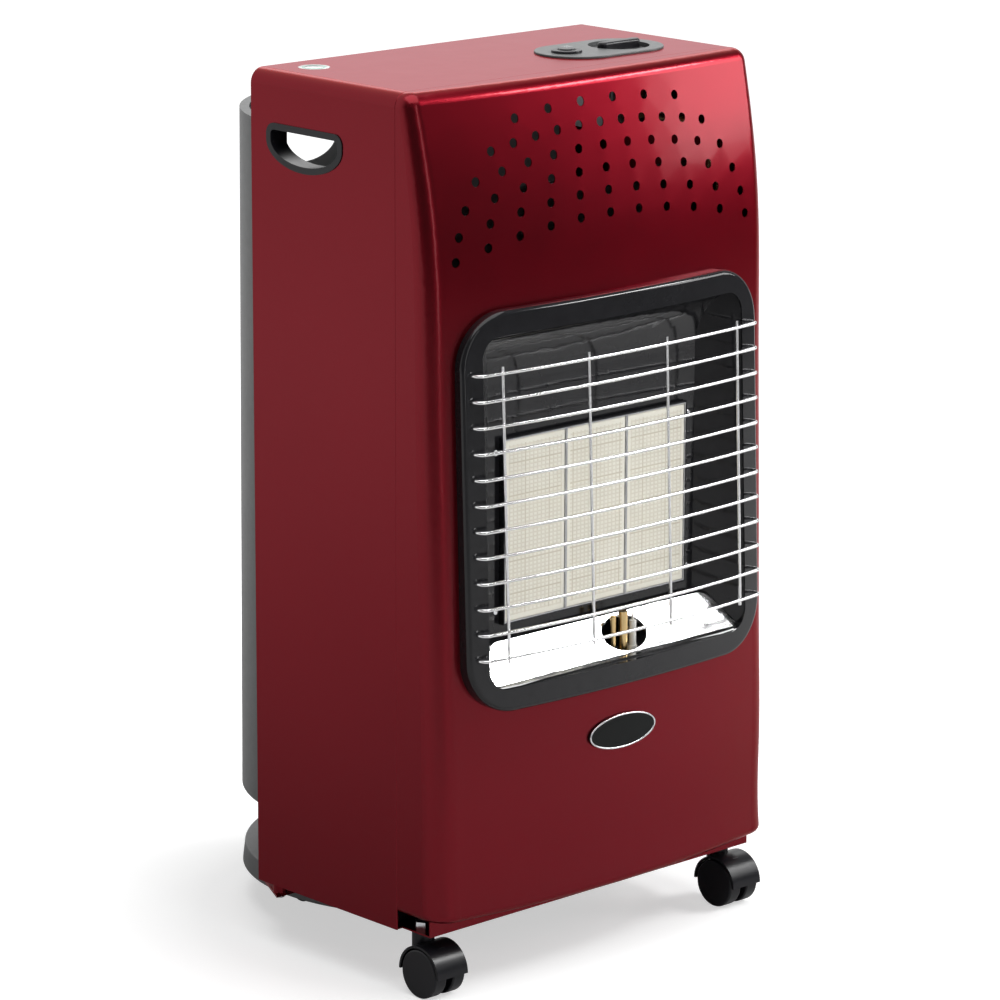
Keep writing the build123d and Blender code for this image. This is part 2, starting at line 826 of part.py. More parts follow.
def make_reflector():
    with BuildPart() as flange:
        with BuildSketch(face.offset(-panel_depth_foot)):
            RectangleRounded(2 * reflector_flange, 2 * reflector_flange - bezel_width
                             + bezel_height, bezel_corner)
            with Locations(*window_screws()):
                Circle(screw_shank / 2, mode=Mode.SUBTRACT)
        extrude(amount=panel_depth_foot)
        add(panel_inner, mode=Mode.INTERSECT)
        add(panel_block(sheet + reflector_sheet), mode=Mode.SUBTRACT)
    with BuildPart() as reflector:
        add(reflector_space(reflector_sheet))
        add(behind_bow(-bezel_sheet), mode=Mode.INTERSECT)
        add(flange.part)
        add(reflector_space(0), mode=Mode.SUBTRACT)
        # opening for the burner
        with BuildSketch(upright(reflector_wall - fit)):
            with Locations((0, burner_z)):
                Rectangle(collar_width + 2 * (frame_sheet + fit),
                          collar_height + 2 * (frame_sheet + fit))
            with Locations(*frame_screws()):
                Circle(small_shank / 2)
        extrude(amount=-2 * reflector_sheet, mode=Mode.SUBTRACT)
        add(pilot_opening())
        extrude(amount=floor_rise + reflector_sheet, both=True, mode=Mode.SUBTRACT)
    save(reflector.part, "reflector")


def make_reflector_tray():
    """Polished tray on the reflector's floor."""
    floor = window_foot + fit
    front = seam - floor_front - mirror_lip
    with BuildPart() as plan:
        with BuildSketch(level(floor - reflector_sheet)) as outline:
            flare = reflector_flare_foot
            mouth = window_half_width + reflector_gap - mirror_side_gap
            slope = (mouth - reflector_back_half) / (flare - reflector_back)
            rear = mouth - (flare - floor_back) * slope - mirror_side_gap
            with BuildLine():
                Polyline((-mouth, front), (-mouth, seam - flare), (-rear, seam - floor_back),
                         (rear, seam - floor_back), (mouth, seam - flare), (mouth, front),
                         close=True)
            make_face()
            fillet(outline.vertices().sort_by(Axis.Y)[-2:], mirror_corner)
        extrude(amount=floor_rise + 2 * mirror_sheet)
    with BuildPart() as reflector_tray:
        with BuildSketch(crossways(-half)):
            with BuildLine():
                Polyline((front, floor), (seam - floor_front, floor),
                         (seam - floor_back, floor + floor_rise),
                         (seam - floor_back, floor + floor_rise + mirror_sheet),
                         (seam - floor_front, floor + mirror_sheet),
                         (front, floor + mirror_sheet), close=True)
            make_face()
        extrude(amount=cabinet_width)
        add(plan.part, mode=Mode.INTERSECT)
        add(reflector_space(-fit), mode=Mode.INTERSECT)
        add(behind_bow(-bezel_sheet - fit), mode=Mode.INTERSECT)
        add(pilot_opening())
        extrude(amount=floor_rise + 2 * mirror_sheet, mode=Mode.SUBTRACT)
    save(reflector_tray.part, "reflector_tray")


# ---------------------------------------------------------------- burner
def head_x(index):
    return (index - (plaques - 1) / 2) * head_step


def tab_screws():
    """Screws through the heads' tabs, as x and height."""
    up = head_height / 2 + head_tab / 2 + frame_sheet / 2
    return [(head_x(n) + side * head_width / 4, burner_z + row * up)
            for n in range(plaques) for side in (-1, 1) for row in (-1, 1)]


def make_burner_frame():
    with BuildPart() as burner_frame:
        with BuildSketch(upright(frame_plate)):
            with Locations((0, burner_z)):
                Rectangle(collar_width + 2 * (frame_sheet + frame_margin),
                          collar_height + 2 * (frame_sheet + frame_margin))
        extrude(amount=-frame_sheet)
        with BuildSketch(upright(frame_plate)):
            with Locations((0, burner_z)):
                Rectangle(collar_width + 2 * frame_sheet, collar_height + 2 * frame_sheet)
        extrude(amount=frame_plate - head_front + frame_proud - head_proud)
        with BuildSketch(upright(frame_plate + frame_sheet)):
            with Locations((0, burner_z)):
                Rectangle(collar_width, collar_height)
        extrude(amount=middle_foot, mode=Mode.SUBTRACT)
        with BuildSketch(upright(frame_plate)):
            with Locations(*frame_screws()):
                Circle(small_shank / 2)
            with Locations(*tab_screws()):
                Circle(small_shank / 2)
        extrude(amount=-2 * frame_sheet, mode=Mode.SUBTRACT)
    save(burner_frame.part, "burner_frame")


def make_burner_head(index):
    """Sheet pan that holds one ceramic plaque and the gas space behind it."""
    x = head_x(index)
    tab_y = frame_plate + frame_sheet
    with BuildPart() as burner_head:
        with BuildSketch(upright(head_back)):
            with Locations((x, burner_z)):
                Rectangle(head_width, head_height)
        extrude(amount=head_back - head_front)
        with BuildSketch(upright(head_back - head_wall)):
            with Locations((x, burner_z)):
                Rectangle(plaque_width, plaque_height)
        extrude(amount=head_back - head_front, mode=Mode.SUBTRACT)
        # ledge that the gasket lies on
        with BuildSketch(upright(plaque_back + gasket_thickness + head_wall)):
            with Locations((x, burner_z)):
                Rectangle(plaque_width, plaque_height)
                Rectangle(plaque_width - 2 * gasket_width, plaque_height - 2 * gasket_width,
                          mode=Mode.SUBTRACT)
        extrude(amount=head_wall)
        # tabs above and below, on the back of the frame
        with BuildSketch(upright(tab_y + head_wall)):
            with Locations((x, burner_z)):
                Rectangle(head_width, head_height + 2 * head_tab)
                Rectangle(head_width, head_height, mode=Mode.SUBTRACT)
            with Locations(*tab_screws()):
                Circle(small_shank / 2, mode=Mode.SUBTRACT)
        extrude(amount=head_wall)
        with BuildSketch(level(burner_z - head_height / 2 - head_wall)):
            with Locations((x, mixer_y)):
                Circle(mixer_bore / 2)
        extrude(amount=3 * head_wall, mode=Mode.SUBTRACT)
    save(burner_head.part, f"burner_head_{head_names[index]}")


def make_plaque(index):
    with BuildPart() as ceramic_plaque:
        with BuildSketch(upright(plaque_back)):
            with Locations((head_x(index), burner_z)):
                Rectangle(plaque_width, plaque_height)
        extrude(amount=plaque_depth)
        front = ceramic_plaque.faces().sort_by(Axis.Y)[0]
        chamfer(front.edges(), head_wall)
    save(ceramic_plaque.part, f"ceramic_plaque_{head_names[index]}")


def make_gaskets():
    with BuildPart() as burner_gaskets:
        with BuildSketch(upright(plaque_back + gasket_thickness)):
            with Locations(*[(head_x(n), burner_z) for n in range(plaques)]):
                Rectangle(plaque_width, plaque_height)
                Rectangle(plaque_width - 2 * gasket_width, plaque_height - 2 * gasket_width,
                          mode=Mode.SUBTRACT)
        extrude(amount=gasket_thickness)
    save(burner_gaskets.part, "burner_gaskets")


def make_mixer_tubes():
    """Tubes that draw in air below the heads, with a flared mouth."""
    top = burner_z - head_height / 2
    flare = mixer_flare / 2 - mixer_bore / 2
    with BuildPart() as mixer_tubes:
        for n in range(plaques):
            axis = Axis((head_x(n), mixer_y, 0), (0, 0, 1))
            x = head_x(n)
            with BuildSketch(Plane(origin=(x, mixer_y, 0), x_dir=(1, 0, 0),
                                   z_dir=(0, -1, 0))):
                with BuildLine():
                    Polyline((mixer_bore / 2, top), (mixer_outer / 2, top),
                             (mixer_outer / 2, mixer_foot + flare),
                             (mixer_flare / 2 + head_wall, mixer_foot),
                             (mixer_flare / 2, mixer_foot),
                             (mixer_bore / 2, mixer_foot + flare), close=True)
                make_face()
            revolve(axis=axis)
    save(mixer_tubes.part, "mixer_tubes")


def make_injectors():
    with BuildPart() as injectors:
        with BuildSketch(level(rail_top)):
            with Locations(*[(head_x(n), mixer_y) for n in range(plaques)]):
                RegularPolygon(injector_hex / 2, 6, major_radius=False)
        extrude(amount=injector_length - injector_hex / 2)
        with BuildSketch(level(rail_top)):
            with Locations(*[(head_x(n), mixer_y) for n in range(plaques)]):
                Circle(injector_hex / 3)
        extrude(amount=injector_length)
        with BuildSketch(level(rail_top)):
            with Locations(*[(head_x(n), mixer_y) for n in range(plaques)]):
                Circle(injector_bore / 2)
        extrude(amount=injector_length, mode=Mode.SUBTRACT)
    save(injectors.part, "injectors")


def make_gas_rail():
    """Square tube under the injectors, closed at both ends."""
    wall = (pipe_diameter - pipe_bore) / 2
    with BuildPart() as gas_rail:
        with BuildSketch(crossways(-rail_length / 2)):
            with Locations((mixer_y, rail_top - rail_height / 2)):
                RectangleRounded(rail_height, rail_height, wall)
        extrude(amount=rail_length)
        with BuildSketch(crossways(-rail_length / 2 + wall)):
            with Locations((mixer_y, rail_top - rail_height / 2)):
                Rectangle(rail_height - 2 * wall, rail_height - 2 * wall)
        extrude(amount=rail_length - 2 * wall, mode=Mode.SUBTRACT)
        with BuildSketch(level(rail_top - 2 * wall)):
            with Locations(*[(head_x(n), mixer_y) for n in range(plaques)]):
                Circle(injector_bore)
        extrude(amount=3 * wall, mode=Mode.SUBTRACT)
    save(gas_rail.part, "gas_rail")


def make_injector_bracket():
    """Angle on the heat shield that carries the gas rail."""
    shield_front = seam + shield_depth
    under = rail_top - rail_height
    with BuildPart() as injector_bracket:
        with BuildSketch(crossways(-rail_length / 2)):
            with BuildLine():
                rail_front = mixer_y - rail_height / 2
                Polyline((rail_front, under), (shield_front, under),
                         (shield_front, under - 2 * rail_height),
                         (shield_front - bracket_sheet, under - 2 * rail_height),
                         (shield_front - bracket_sheet, under - bracket_sheet),
                         (rail_front, under - bracket_sheet), close=True)
            make_face()
        extrude(amount=rail_length)
    save(injector_bracket.part, "injector_bracket")


# ---------------------------------------------------------------- pilot
def make_pilot_bracket():
    """Shelf under the pilot opening, hung from the reflector's floor by two cheeks."""
    front = seam - floor_front + reflector_sheet / 2 + fit
    climbed = seam - floor_back + reflector_sheet / 2 + fit
    rear = front + pilot_plate_depth
    with BuildPart() as pilot_bracket:
        with BuildSketch(level(pilot_plate_top)):
            with Locations((pilot_x, (front + rear) / 2)):
                Rectangle(pilot_plate_width, rear - front)
            with Locations(*pilot_places()):
                Circle(pilot_body / 2, mode=Mode.SUBTRACT)
        extrude(amount=-bracket_sheet)
        for side in (-1, 1):
            outer = pilot_x + side * pilot_plate_width / 2
            with BuildSketch(crossways(outer)):
                with BuildLine():
                    Polyline((front, pilot_plate_top), (rear, pilot_plate_top),
                             (rear, pilot_plate_top + floor_rise),
                             (climbed, pilot_plate_top + floor_rise), close=True)
                make_face()
            extrude(amount=-side * bracket_sheet)
    save(pilot_bracket.part, "pilot_bracket")


def pilot_places():
    return [(pilot_x + n * pilot_spacing, seam - pilot_y) for n in (-1, 0, 1)]


def make_pilot_burner():
    """Brass pilot burner with a hood over its flame port."""
    x, y = pilot_places()[1]
    foot = pilot_plate_top - bracket_sheet
    with BuildPart() as pilot_burner:
        with BuildSketch(level(foot - pilot_body)):
            with Locations((x, y)):
                Circle(pilot_body / 2)
        extrude(amount=pilot_height + pilot_body + bracket_sheet)
        with BuildSketch(level(foot - pilot_body)):
            with Locations((x, y)):
                RegularPolygon(pilot_hex / 2, 6)
        extrude(amount=pilot_body)
        # flame port through the hood, towards the burner
        with BuildSketch(upright(y)):
            with Locations((x, pilot_plate_top + pilot_height - pilot_body)):
                Circle(pilot_body / 4)
        extrude(amount=-pilot_body, mode=Mode.SUBTRACT)
    save(pilot_burner.part, "pilot_burner")


def make_thermocouple():
    x, y = pilot_places()[0]
    foot = pilot_plate_top - bracket_sheet - pilot_body
    with BuildPart() as thermocouple:
        with BuildSketch(level(foot)):
            with Locations((x, y)):
                Circle(pilot_body / 2)
        extrude(amount=pilot_body + bracket_sheet + pilot_body / 2)
        with BuildSketch(level(foot)):
            with Locations((x, y)):
                Circle(thermocouple_diameter / 2)
        extrude(amount=pilot_height + pilot_body)
        tip = thermocouple.faces().sort_by(Axis.Z)[-1]
        fillet(tip.edges(), thermocouple_diameter / 3)
    save(thermocouple.part, "thermocouple")


def make_spark_electrode():
    x, y = pilot_places()[2]
    foot = pilot_plate_top - bracket_sheet - pilot_body
    with BuildPart() as spark_electrode:
        with BuildSketch(level(foot)):
            with Locations((x, y)):
                Circle(pilot_body / 2)
        extrude(amount=pilot_body + bracket_sheet + pilot_body / 2)
        with BuildSketch(level(foot)):
            with Locations((x, y)):
                Circle(electrode_ceramic / 2)
        extrude(amount=pilot_height)
        with BuildSketch(level(foot - pilot_body)):
            with Locations((x, y)):
                Circle(electrode_pin / 2)
        extrude(amount=pilot_height + 2 * pilot_body)
    save(spark_electrode.part, "spark_electrode")


def pipe_solid(points, diameter, bore, bend):
    """Bent tube along straight runs joined by arcs."""
    start = Vector(*points[0])
    ahead = (Vector(*points[1]) - start).normalized()
    with BuildPart() as tube:
        with BuildLine():
            FilletPolyline(*points, radius=bend)
        with BuildSketch(Plane(origin=start, z_dir=ahead)):
            Circle(diameter / 2)
            if bore:
                Circle(bore / 2, mode=Mode.SUBTRACT)
        sweep()
    return tube.part


def make_pipes():
    riser_y = seam - riser_depth
    valve_side = knob_x - valve_width / 4
    inlet = valve_top - valve_height * 3 / 4
    valve_front = controls_y - valve_depth / 2
    rail_mid = rail_top - rail_height / 2
    rail_end = rail_length / 2
    gas = [(rail_end, mixer_y, rail_mid), (riser_x, mixer_y, rail_mid),
           (riser_x, riser_y, rail_mid + 2 * pipe_bend), (riser_x, riser_y, inlet),
           (knob_x + valve_width / 4, riser_y, inlet),
           (knob_x + valve_width / 4, valve_front, inlet)]
    save(pipe_solid(gas, pipe_diameter, pipe_bore, pipe_bend), "gas_pipe")
    x, y = pilot_places()[1]
    nut = pilot_plate_top - bracket_sheet - pilot_body
    low = nut - 2 * pilot_pipe_bend - pilot_pipe_diameter
    pilot_back = mixer_y - rail_height
    pilot = [(x, y, nut), (x, y, low), (x, pilot_back, low),
             (pilot_riser_x, pilot_back, low),
             (pilot_riser_x, riser_y, low + 2 * pilot_pipe_bend),
             (pilot_riser_x, riser_y, inlet + pipe_diameter * 2),
             (valve_side, riser_y, inlet + pipe_diameter * 2),
             (valve_side, valve_front, inlet + pipe_diameter * 2)]
    save(pipe_solid(pilot, pilot_pipe_diameter, 0, pilot_pipe_bend), "pilot_pipe")


# ---------------------------------------------------------------- controls
def make_fascia():
    with BuildPart() as control_fascia:
        with BuildSketch(level(cabinet_height)):
            with Locations((fascia_x, controls_y)):
                SlotOverall(fascia_length, fascia_width)
        extrude(amount=fascia_thickness)
        top = control_fascia.faces().sort_by(Axis.Z)[-1]
        fillet(top.edges(), fascia_thickness / 2)
        # dish that the knob sits in
        with BuildSketch(level(dish_floor - dish_wall)):
            with Locations((knob_x, controls_y)):
                Circle(dish_radius + dish_wall)
        extrude(amount=cabinet_height - dish_floor + dish_wall)
        with BuildSketch(level(dish_floor)):
            with Locations((knob_x, controls_y)):
                Circle(dish_radius)
        extrude(amount=fascia_top - dish_floor, mode=Mode.SUBTRACT)
        with BuildSketch(level(dish_floor - dish_wall)):
            with Locations((knob_x, controls_y)):
                Circle(spindle_diameter / 2 + fit)
            with Locations((button_x, controls_y)):
                Circle(igniter_thread / 2 + fit)
        extrude(amount=fascia_top - dish_floor + dish_wall, mode=Mode.SUBTRACT)
    save(control_fascia.part, "control_fascia")


def make_knob():
    """Sunk knob with a grip bar across it."""
    disc_top = knob_under + knob_thickness
    with BuildPart() as control_knob:
        with BuildSketch(level(knob_under)):
            with Locations((knob_x, controls_y)):
                Circle(knob_diameter / 2)
        extrude(amount=knob_thickness)
        rim = control_knob.faces().sort_by(Axis.Z)[-1]
        fillet(rim.edges(), knob_thickness / 4)
        with BuildSketch(level(disc_top - knob_thickness / 2)):
            with Locations((knob_x, controls_y)):
                SlotOverall(knob_diameter - 2 * dish_gap, knob_grip_width)
        extrude(amount=knob_grip_height + knob_thickness / 2)
        bar = control_knob.faces().sort_by(Axis.Z)[-1]
        fillet(bar.edges(), knob_grip_width / 4)
        with BuildSketch(level(knob_under)):
            with Locations((knob_x, controls_y)):
                Circle(spindle_diameter / 2)
        extrude(amount=spindle_grip, mode=Mode.SUBTRACT)
    save(control_knob.part, "control_knob")


def make_spindle():
    foot = valve_top - fit - spindle_in_plug
    with BuildPart() as valve_spindle:
        with BuildSketch(level(foot)):
            with Locations((knob_x, controls_y)):
                Circle(spindle_diameter / 2)
        extrude(amount=knob_under + spindle_grip - foot)
    save(valve_spindle.part, "valve_spindle")


def make_valve():
    centre = (knob_x, controls_y)
    plug_top = valve_top - fit
    with BuildPart() as valve_plug:
        with BuildSketch(level(plug_top - plug_height)):
            with Locations(centre):
                Circle(plug_diameter / 2)
        extrude(amount=plug_height)
        with BuildSketch(level(plug_top - spindle_in_plug - knob_push - fit)):
            with Locations(centre):
                Circle(spindle_diameter / 2 + slip)
        extrude(amount=plug_height, mode=Mode.SUBTRACT)
    save(valve_plug.part, "valve_plug")
    with BuildPart() as gas_valve:
        with BuildSketch(level(valve_top - valve_height)):
            with Locations(centre):
                RectangleRounded(valve_width, valve_depth, valve_depth / 8)
        extrude(amount=valve_height)
        with BuildSketch(level(plug_top - plug_height - fit)):
            with Locations(centre):
                Circle(plug_diameter / 2 + slip)
        extrude(amount=plug_height + 2 * fit, mode=Mode.SUBTRACT)
    save(gas_valve.part, "gas_valve")


def make_valve_bracket():
    """U-shaped cradle that hangs the valve below the cabinet top."""
    top = cabinet_height - sheet
    foot = valve_top - valve_height - bracket_sheet
    leg = dish_radius + dish_wall + 2 * bracket_sheet
    ear = leg + 4 * bracket_sheet
    with BuildPart() as valve_bracket:
        with BuildSketch(upright(controls_y + valve_bracket_width / 2)):
            with Locations((knob_x, (top + foot) / 2)):
                Rectangle(2 * leg, top - foot)
            with Locations((knob_x, top - bracket_sheet / 2)):
                Rectangle(2 * ear, bracket_sheet)
            with Locations((knob_x, (top + foot) / 2 + bracket_sheet)):
                Rectangle(2 * (leg - bracket_sheet), top - foot, mode=Mode.SUBTRACT)
        extrude(amount=valve_bracket_width)
    save(valve_bracket.part, "valve_bracket")


def make_hose_nipple():
    """Barbed inlet behind the valve, pointing down."""
    x = knob_x
    y = controls_y + valve_depth / 2 + nipple_diameter
    elbow = valve_top - valve_height / 2
    barb = nipple_length / (2 * nipple_barbs)
    with BuildPart() as hose_nipple:
        with BuildSketch(upright(y + nipple_diameter)):
            with Locations((x, elbow)):
                RegularPolygon(nipple_diameter, 6, major_radius=False)
        extrude(amount=2 * nipple_diameter)
        with BuildSketch(level(elbow - nipple_length)):
            with Locations((x, y)):
                Circle(nipple_neck / 2)
        extrude(amount=nipple_length)
        for n in range(nipple_barbs):
            with BuildSketch(level(elbow - nipple_length + 2 * n * barb)):
                with Locations((x, y)):
                    Circle(nipple_neck / 2)
            with BuildSketch(level(elbow - nipple_length + (2 * n + 1) * barb)):
                with Locations((x, y)):
                    Circle(nipple_diameter / 2)
            loft()
        with BuildSketch(level(elbow - nipple_length)):
            with Locations((x, y)):
                Circle(nipple_diameter / 4)
        extrude(amount=nipple_length, mode=Mode.SUBTRACT)
    save(hose_nipple.part, "hose_nipple")


def make_igniter():
    """Piezo igniter: body with a ring on the fascia, its nut, and the push button."""
    centre = (button_x, controls_y)
    ring_top = fascia_top + igniter_ring_height
    bore = button_diameter / 2 + slip
    button_foot = ring_top + button_proud - button_length
    with BuildPart() as igniter_body:
        with BuildSketch(level(fascia_top)):
            with Locations(centre):
                Circle(igniter_ring / 2)
        extrude(amount=igniter_ring_height)
        top = igniter_body.faces().sort_by(Axis.Z)[-1]
        fillet(top.edges(), igniter_ring_height / 2)
        with BuildSketch(level(fascia_top - igniter_length)):
            with Locations(centre):
                Circle(igniter_thread / 2)
        extrude(amount=igniter_length)
        # the button's bore ends in a shallow dish
        with BuildSketch(level(button_foot - button_travel - fit)):
            with Locations(centre):
                Circle(bore)
        extrude(amount=igniter_length, mode=Mode.SUBTRACT)
        rim = igniter_body.faces().sort_by(Axis.Z)[-1].edges().sort_by(SortBy.RADIUS)[0]
        chamfer(rim, igniter_dish)
    save(igniter_body.part, "igniter_body")
    with BuildPart() as igniter_button:
        with BuildSketch(level(button_foot)):
            with Locations(centre):
                Circle(button_diameter / 2)
        extrude(amount=button_length)
        top = igniter_button.faces().sort_by(Axis.Z)[-1]
        fillet(top.edges(), button_diameter / 8)
    save(igniter_button.part, "igniter_button")
    with BuildPart() as nut:
        with BuildSketch(level(cabinet_height - sheet - igniter_nut_height)):
            with Locations(centre):
                RegularPolygon(igniter_nut / 2, 6, major_radius=False)
                Circle(igniter_thread / 2 + slip, mode=Mode.SUBTRACT)
        extrude(amount=igniter_nut_height)
    save(nut.part, "igniter_nut")


# ---------------------------------------------------------------- bottle bay
def make_base_plate():
    front_half = half - base_inset
    rear_half = inner_half
    front = seam - base_reach
    rear = back - sheet
    cut = bay_radius + base_cut_gap
    wall = base_sheet
    with BuildPart() as base_plate:
        with BuildSketch(level(floor_gap)):
            with Locations((0, seam - base_reach / 2)):
                Rectangle(2 * front_half, base_reach)
            with Locations((0, (seam + sheet + rear) / 2)):
                Rectangle(2 * rear_half, rear - seam - sheet)
            with Locations((0, seam + sheet / 2)):
                Rectangle(2 * front_half, sheet)
            with Locations((0, back)):
                Circle(cut, mode=Mode.SUBTRACT)
        extrude(amount=base_sheet)
        # upturned flanges along the front and inside the side panels
        with BuildSketch(level(floor_gap)):
            with Locations((0, front + wall / 2)):
                Rectangle(2 * front_half, wall)
            for side in (-1, 1):
                with Locations((side * (rear_half - wall / 2), (seam + sheet + rear) / 2)):
                    Rectangle(wall, rear - seam - sheet)
        extrude(amount=base_flange)
        with BuildSketch(level(floor_gap - wall)):
            with Locations(*stem_places("front")):
                Circle(stem_diameter / 2)
            with Locations(*spacer_places()):
                Circle(screw_shank / 2)
        extrude(amount=3 * wall, mode=Mode.SUBTRACT)
    save(base_plate.part, "base_plate")


def spacer_places():
    return [(side * spacer_x, seam + spacer_y) for side in (-1, 1)]


def make_carrier():
    """Cross member below the base that carries the bottle tray and the rear casters."""
    wide = half - carrier_side_gap
    tongue = carrier_tongue / 2
    front = seam + carrier_front
    shoulder = front + carrier_shoulder
    with BuildPart() as carrier_plate:
        with BuildSketch(level(carrier_z)):
            with BuildLine():
                Polyline((-wide, front), (wide, front),
                         (wide - carrier_shoulder / 2, shoulder),
                         (tongue, shoulder), (tongue, seam + carrier_end),
                         (-tongue, seam + carrier_end), (-tongue, shoulder),
                         (-wide + carrier_shoulder / 2, shoulder), close=True)
            make_face()
            with Locations(*spacer_places()):
                Circle(screw_shank / 2, mode=Mode.SUBTRACT)
            with Locations(*stem_places("rear")):
                Circle(stem_diameter / 2, mode=Mode.SUBTRACT)
        extrude(amount=carrier_sheet)
    save(carrier_plate.part, "carrier_plate")
    with BuildPart() as carrier_spacers:
        with BuildSketch(level(carrier_top)):
            with Locations(*spacer_places()):
                Circle(spacer_diameter / 2)
                Circle(screw_shank / 2, mode=Mode.SUBTRACT)
        extrude(amount=floor_gap - carrier_top)
    save(carrier_spacers.part, "carrier_spacers")


def make_bottle_tray():
    """Round tray with a sunken floor; its edge is notched where the carrier passes."""
    floor = carrier_top + tray_sheet
    top = floor + tray_step
    foot = top - tray_rim
    rim = bay_radius - tray_flare
    with BuildPart() as bottle_tray:
        with BuildSketch(upright(back)):
            with BuildLine():
                Polyline((0, floor), (tray_floor_radius, floor), (tray_border, top), (rim, top),
                         (bay_radius, foot), (bay_radius - tray_sheet, foot),
                         (rim - tray_sheet, top - tray_sheet),
                         (tray_border + tray_sheet / 2, top - tray_sheet),
                         (tray_floor_radius + tray_sheet / 2, floor - tray_sheet),
                         (0, floor - tray_sheet), close=True)
            make_face()
        revolve(axis=Axis((0, back, 0), (0, 0, 1)))
        edge = bottle_tray.edges().filter_by(GeomType.CIRCLE).group_by(Axis.Z)[-1]
        fillet(edge.sort_by(SortBy.RADIUS)[-1], tray_sheet)
        with BuildSketch(level(carrier_z - fit)):
            with Locations((0, seam + carrier_front + carrier_shoulder / 2)):
                Rectangle(cabinet_width, carrier_shoulder + 2 * fit)
        extrude(amount=carrier_sheet + fit, mode=Mode.SUBTRACT)
        with BuildSketch(level(carrier_z)):
            with Locations(*stem_places("rear")):
                Circle(stem_clearance / 2)
        extrude(amount=2 * carrier_sheet, mode=Mode.SUBTRACT)
    save(bottle_tray.part, "bottle_tray")


def cover_cone(foot, top, inset):
    """Round form that the cover is cut from, between two heights."""
    with BuildPart() as cone:
        for z in (foot, top):
            with BuildSketch(level(z)):
                with Locations((0, back)):
                    Circle(cover_radius(z) - inset)
        loft()
    return cone.part


def make_rear_cover():
    """Half-round cover behind the bottle, hooked into the cabinet's back flanges."""
    grip_plane = Plane(origin=(0, back, grip_top - grip_height / 2),
                       x_dir=(-1, 0, 0), z_dir=(0, 1, 0))
    with BuildPart() as rear_cover:
        add(cover_cone(cover_foot, cover_top, 0))
        add(cover_cone(cover_foot + cover_sheet, cover_top - cover_sheet, cover_sheet),
            mode=Mode.SUBTRACT)
        add(cover_cone(cover_foot, cover_top, cover_rim), mode=Mode.SUBTRACT)
        with BuildSketch(upright(back + fit)):
            with Locations((0, (cover_foot + cover_top) / 2)):
                Rectangle(cabinet_width, cabinet_height)
        extrude(amount=side_depth, mode=Mode.SUBTRACT)
        with BuildSketch(grip_plane):
            add(hand_outline(0, grip_width, grip_height))
        extrude(amount=bay_radius, mode=Mode.SUBTRACT)
        with BuildSketch(upright(back + fit)):
            with Locations(*hook_places()):
                Rectangle(cover_sheet, hook_width)
        extrude(amount=hook_reach)
    save(rear_cover.part, "rear_cover")


def make_heat_shield():
    """Sheet between the burner and the bottle bay, flanged to the side panels."""
    y = seam + shield_depth
    foot = floor_gap + base_sheet
    narrow = inner_half - base_sheet - fit
    with BuildPart() as heat_shield:
        with BuildSketch(upright(y)):
            with Locations((0, (shield_top + flange_foot) / 2)):
                Rectangle(2 * inner_half, shield_top - flange_foot)
            with Locations((0, (shield_top + foot) / 2)):
                Rectangle(2 * narrow, shield_top - foot)
        extrude(amount=-shield_sheet)
        with BuildSketch(upright(y)):
            for side in (-1, 1):
                with Locations((side * (inner_half - shield_sheet / 2),
                                (shield_top + flange_foot) / 2)):
                    Rectangle(shield_sheet, shield_top - flange_foot)
        extrude(amount=-shield_flange)
    save(heat_shield.part, "heat_shield")


# ---------------------------------------------------------------- casters
def stem_places(end):
    if end == "front":
        x, y = front_caster_x, seam + front_caster_depth
    else:
        x, y = rear_caster_x, seam + rear_caster_depth
    return [(-x, y), (x, y)]


def make_stems():
    """Stem bolts of the casters, with their heads on the base and on the carrier."""
    with BuildPart() as caster_stems:
        for end, under, thick in (("front", floor_gap, base_sheet),
                                  ("rear", carrier_z, carrier_sheet)):
            with BuildSketch(level(under + thick)):
                with Locations(*stem_places(end)):
                    RegularPolygon(stem_hex / 2, 6, major_radius=False)
            extrude(amount=stem_head if end == "front" else tray_sheet)
            with BuildSketch(level(stem_foot(end))):
                with Locations(*stem_places(end)):
                    Circle(stem_diameter / 2)
            extrude(amount=under + thick - stem_foot(end))
    save(caster_stems.part, "caster_stems")


def wheel_radius(end):
    return (front_wheel if end == "front" else rear_wheel) / 2


def stem_foot(end):
    """Height of the stem's lower end, just above the inside of the hood."""
    trail = front_trail if end == "front" else rear_trail
    reach = wheel_radius(end) + hood_gap + hood_wall
    return wheel_radius(end) + sqrt(reach ** 2 - trail ** 2) + stem_seat


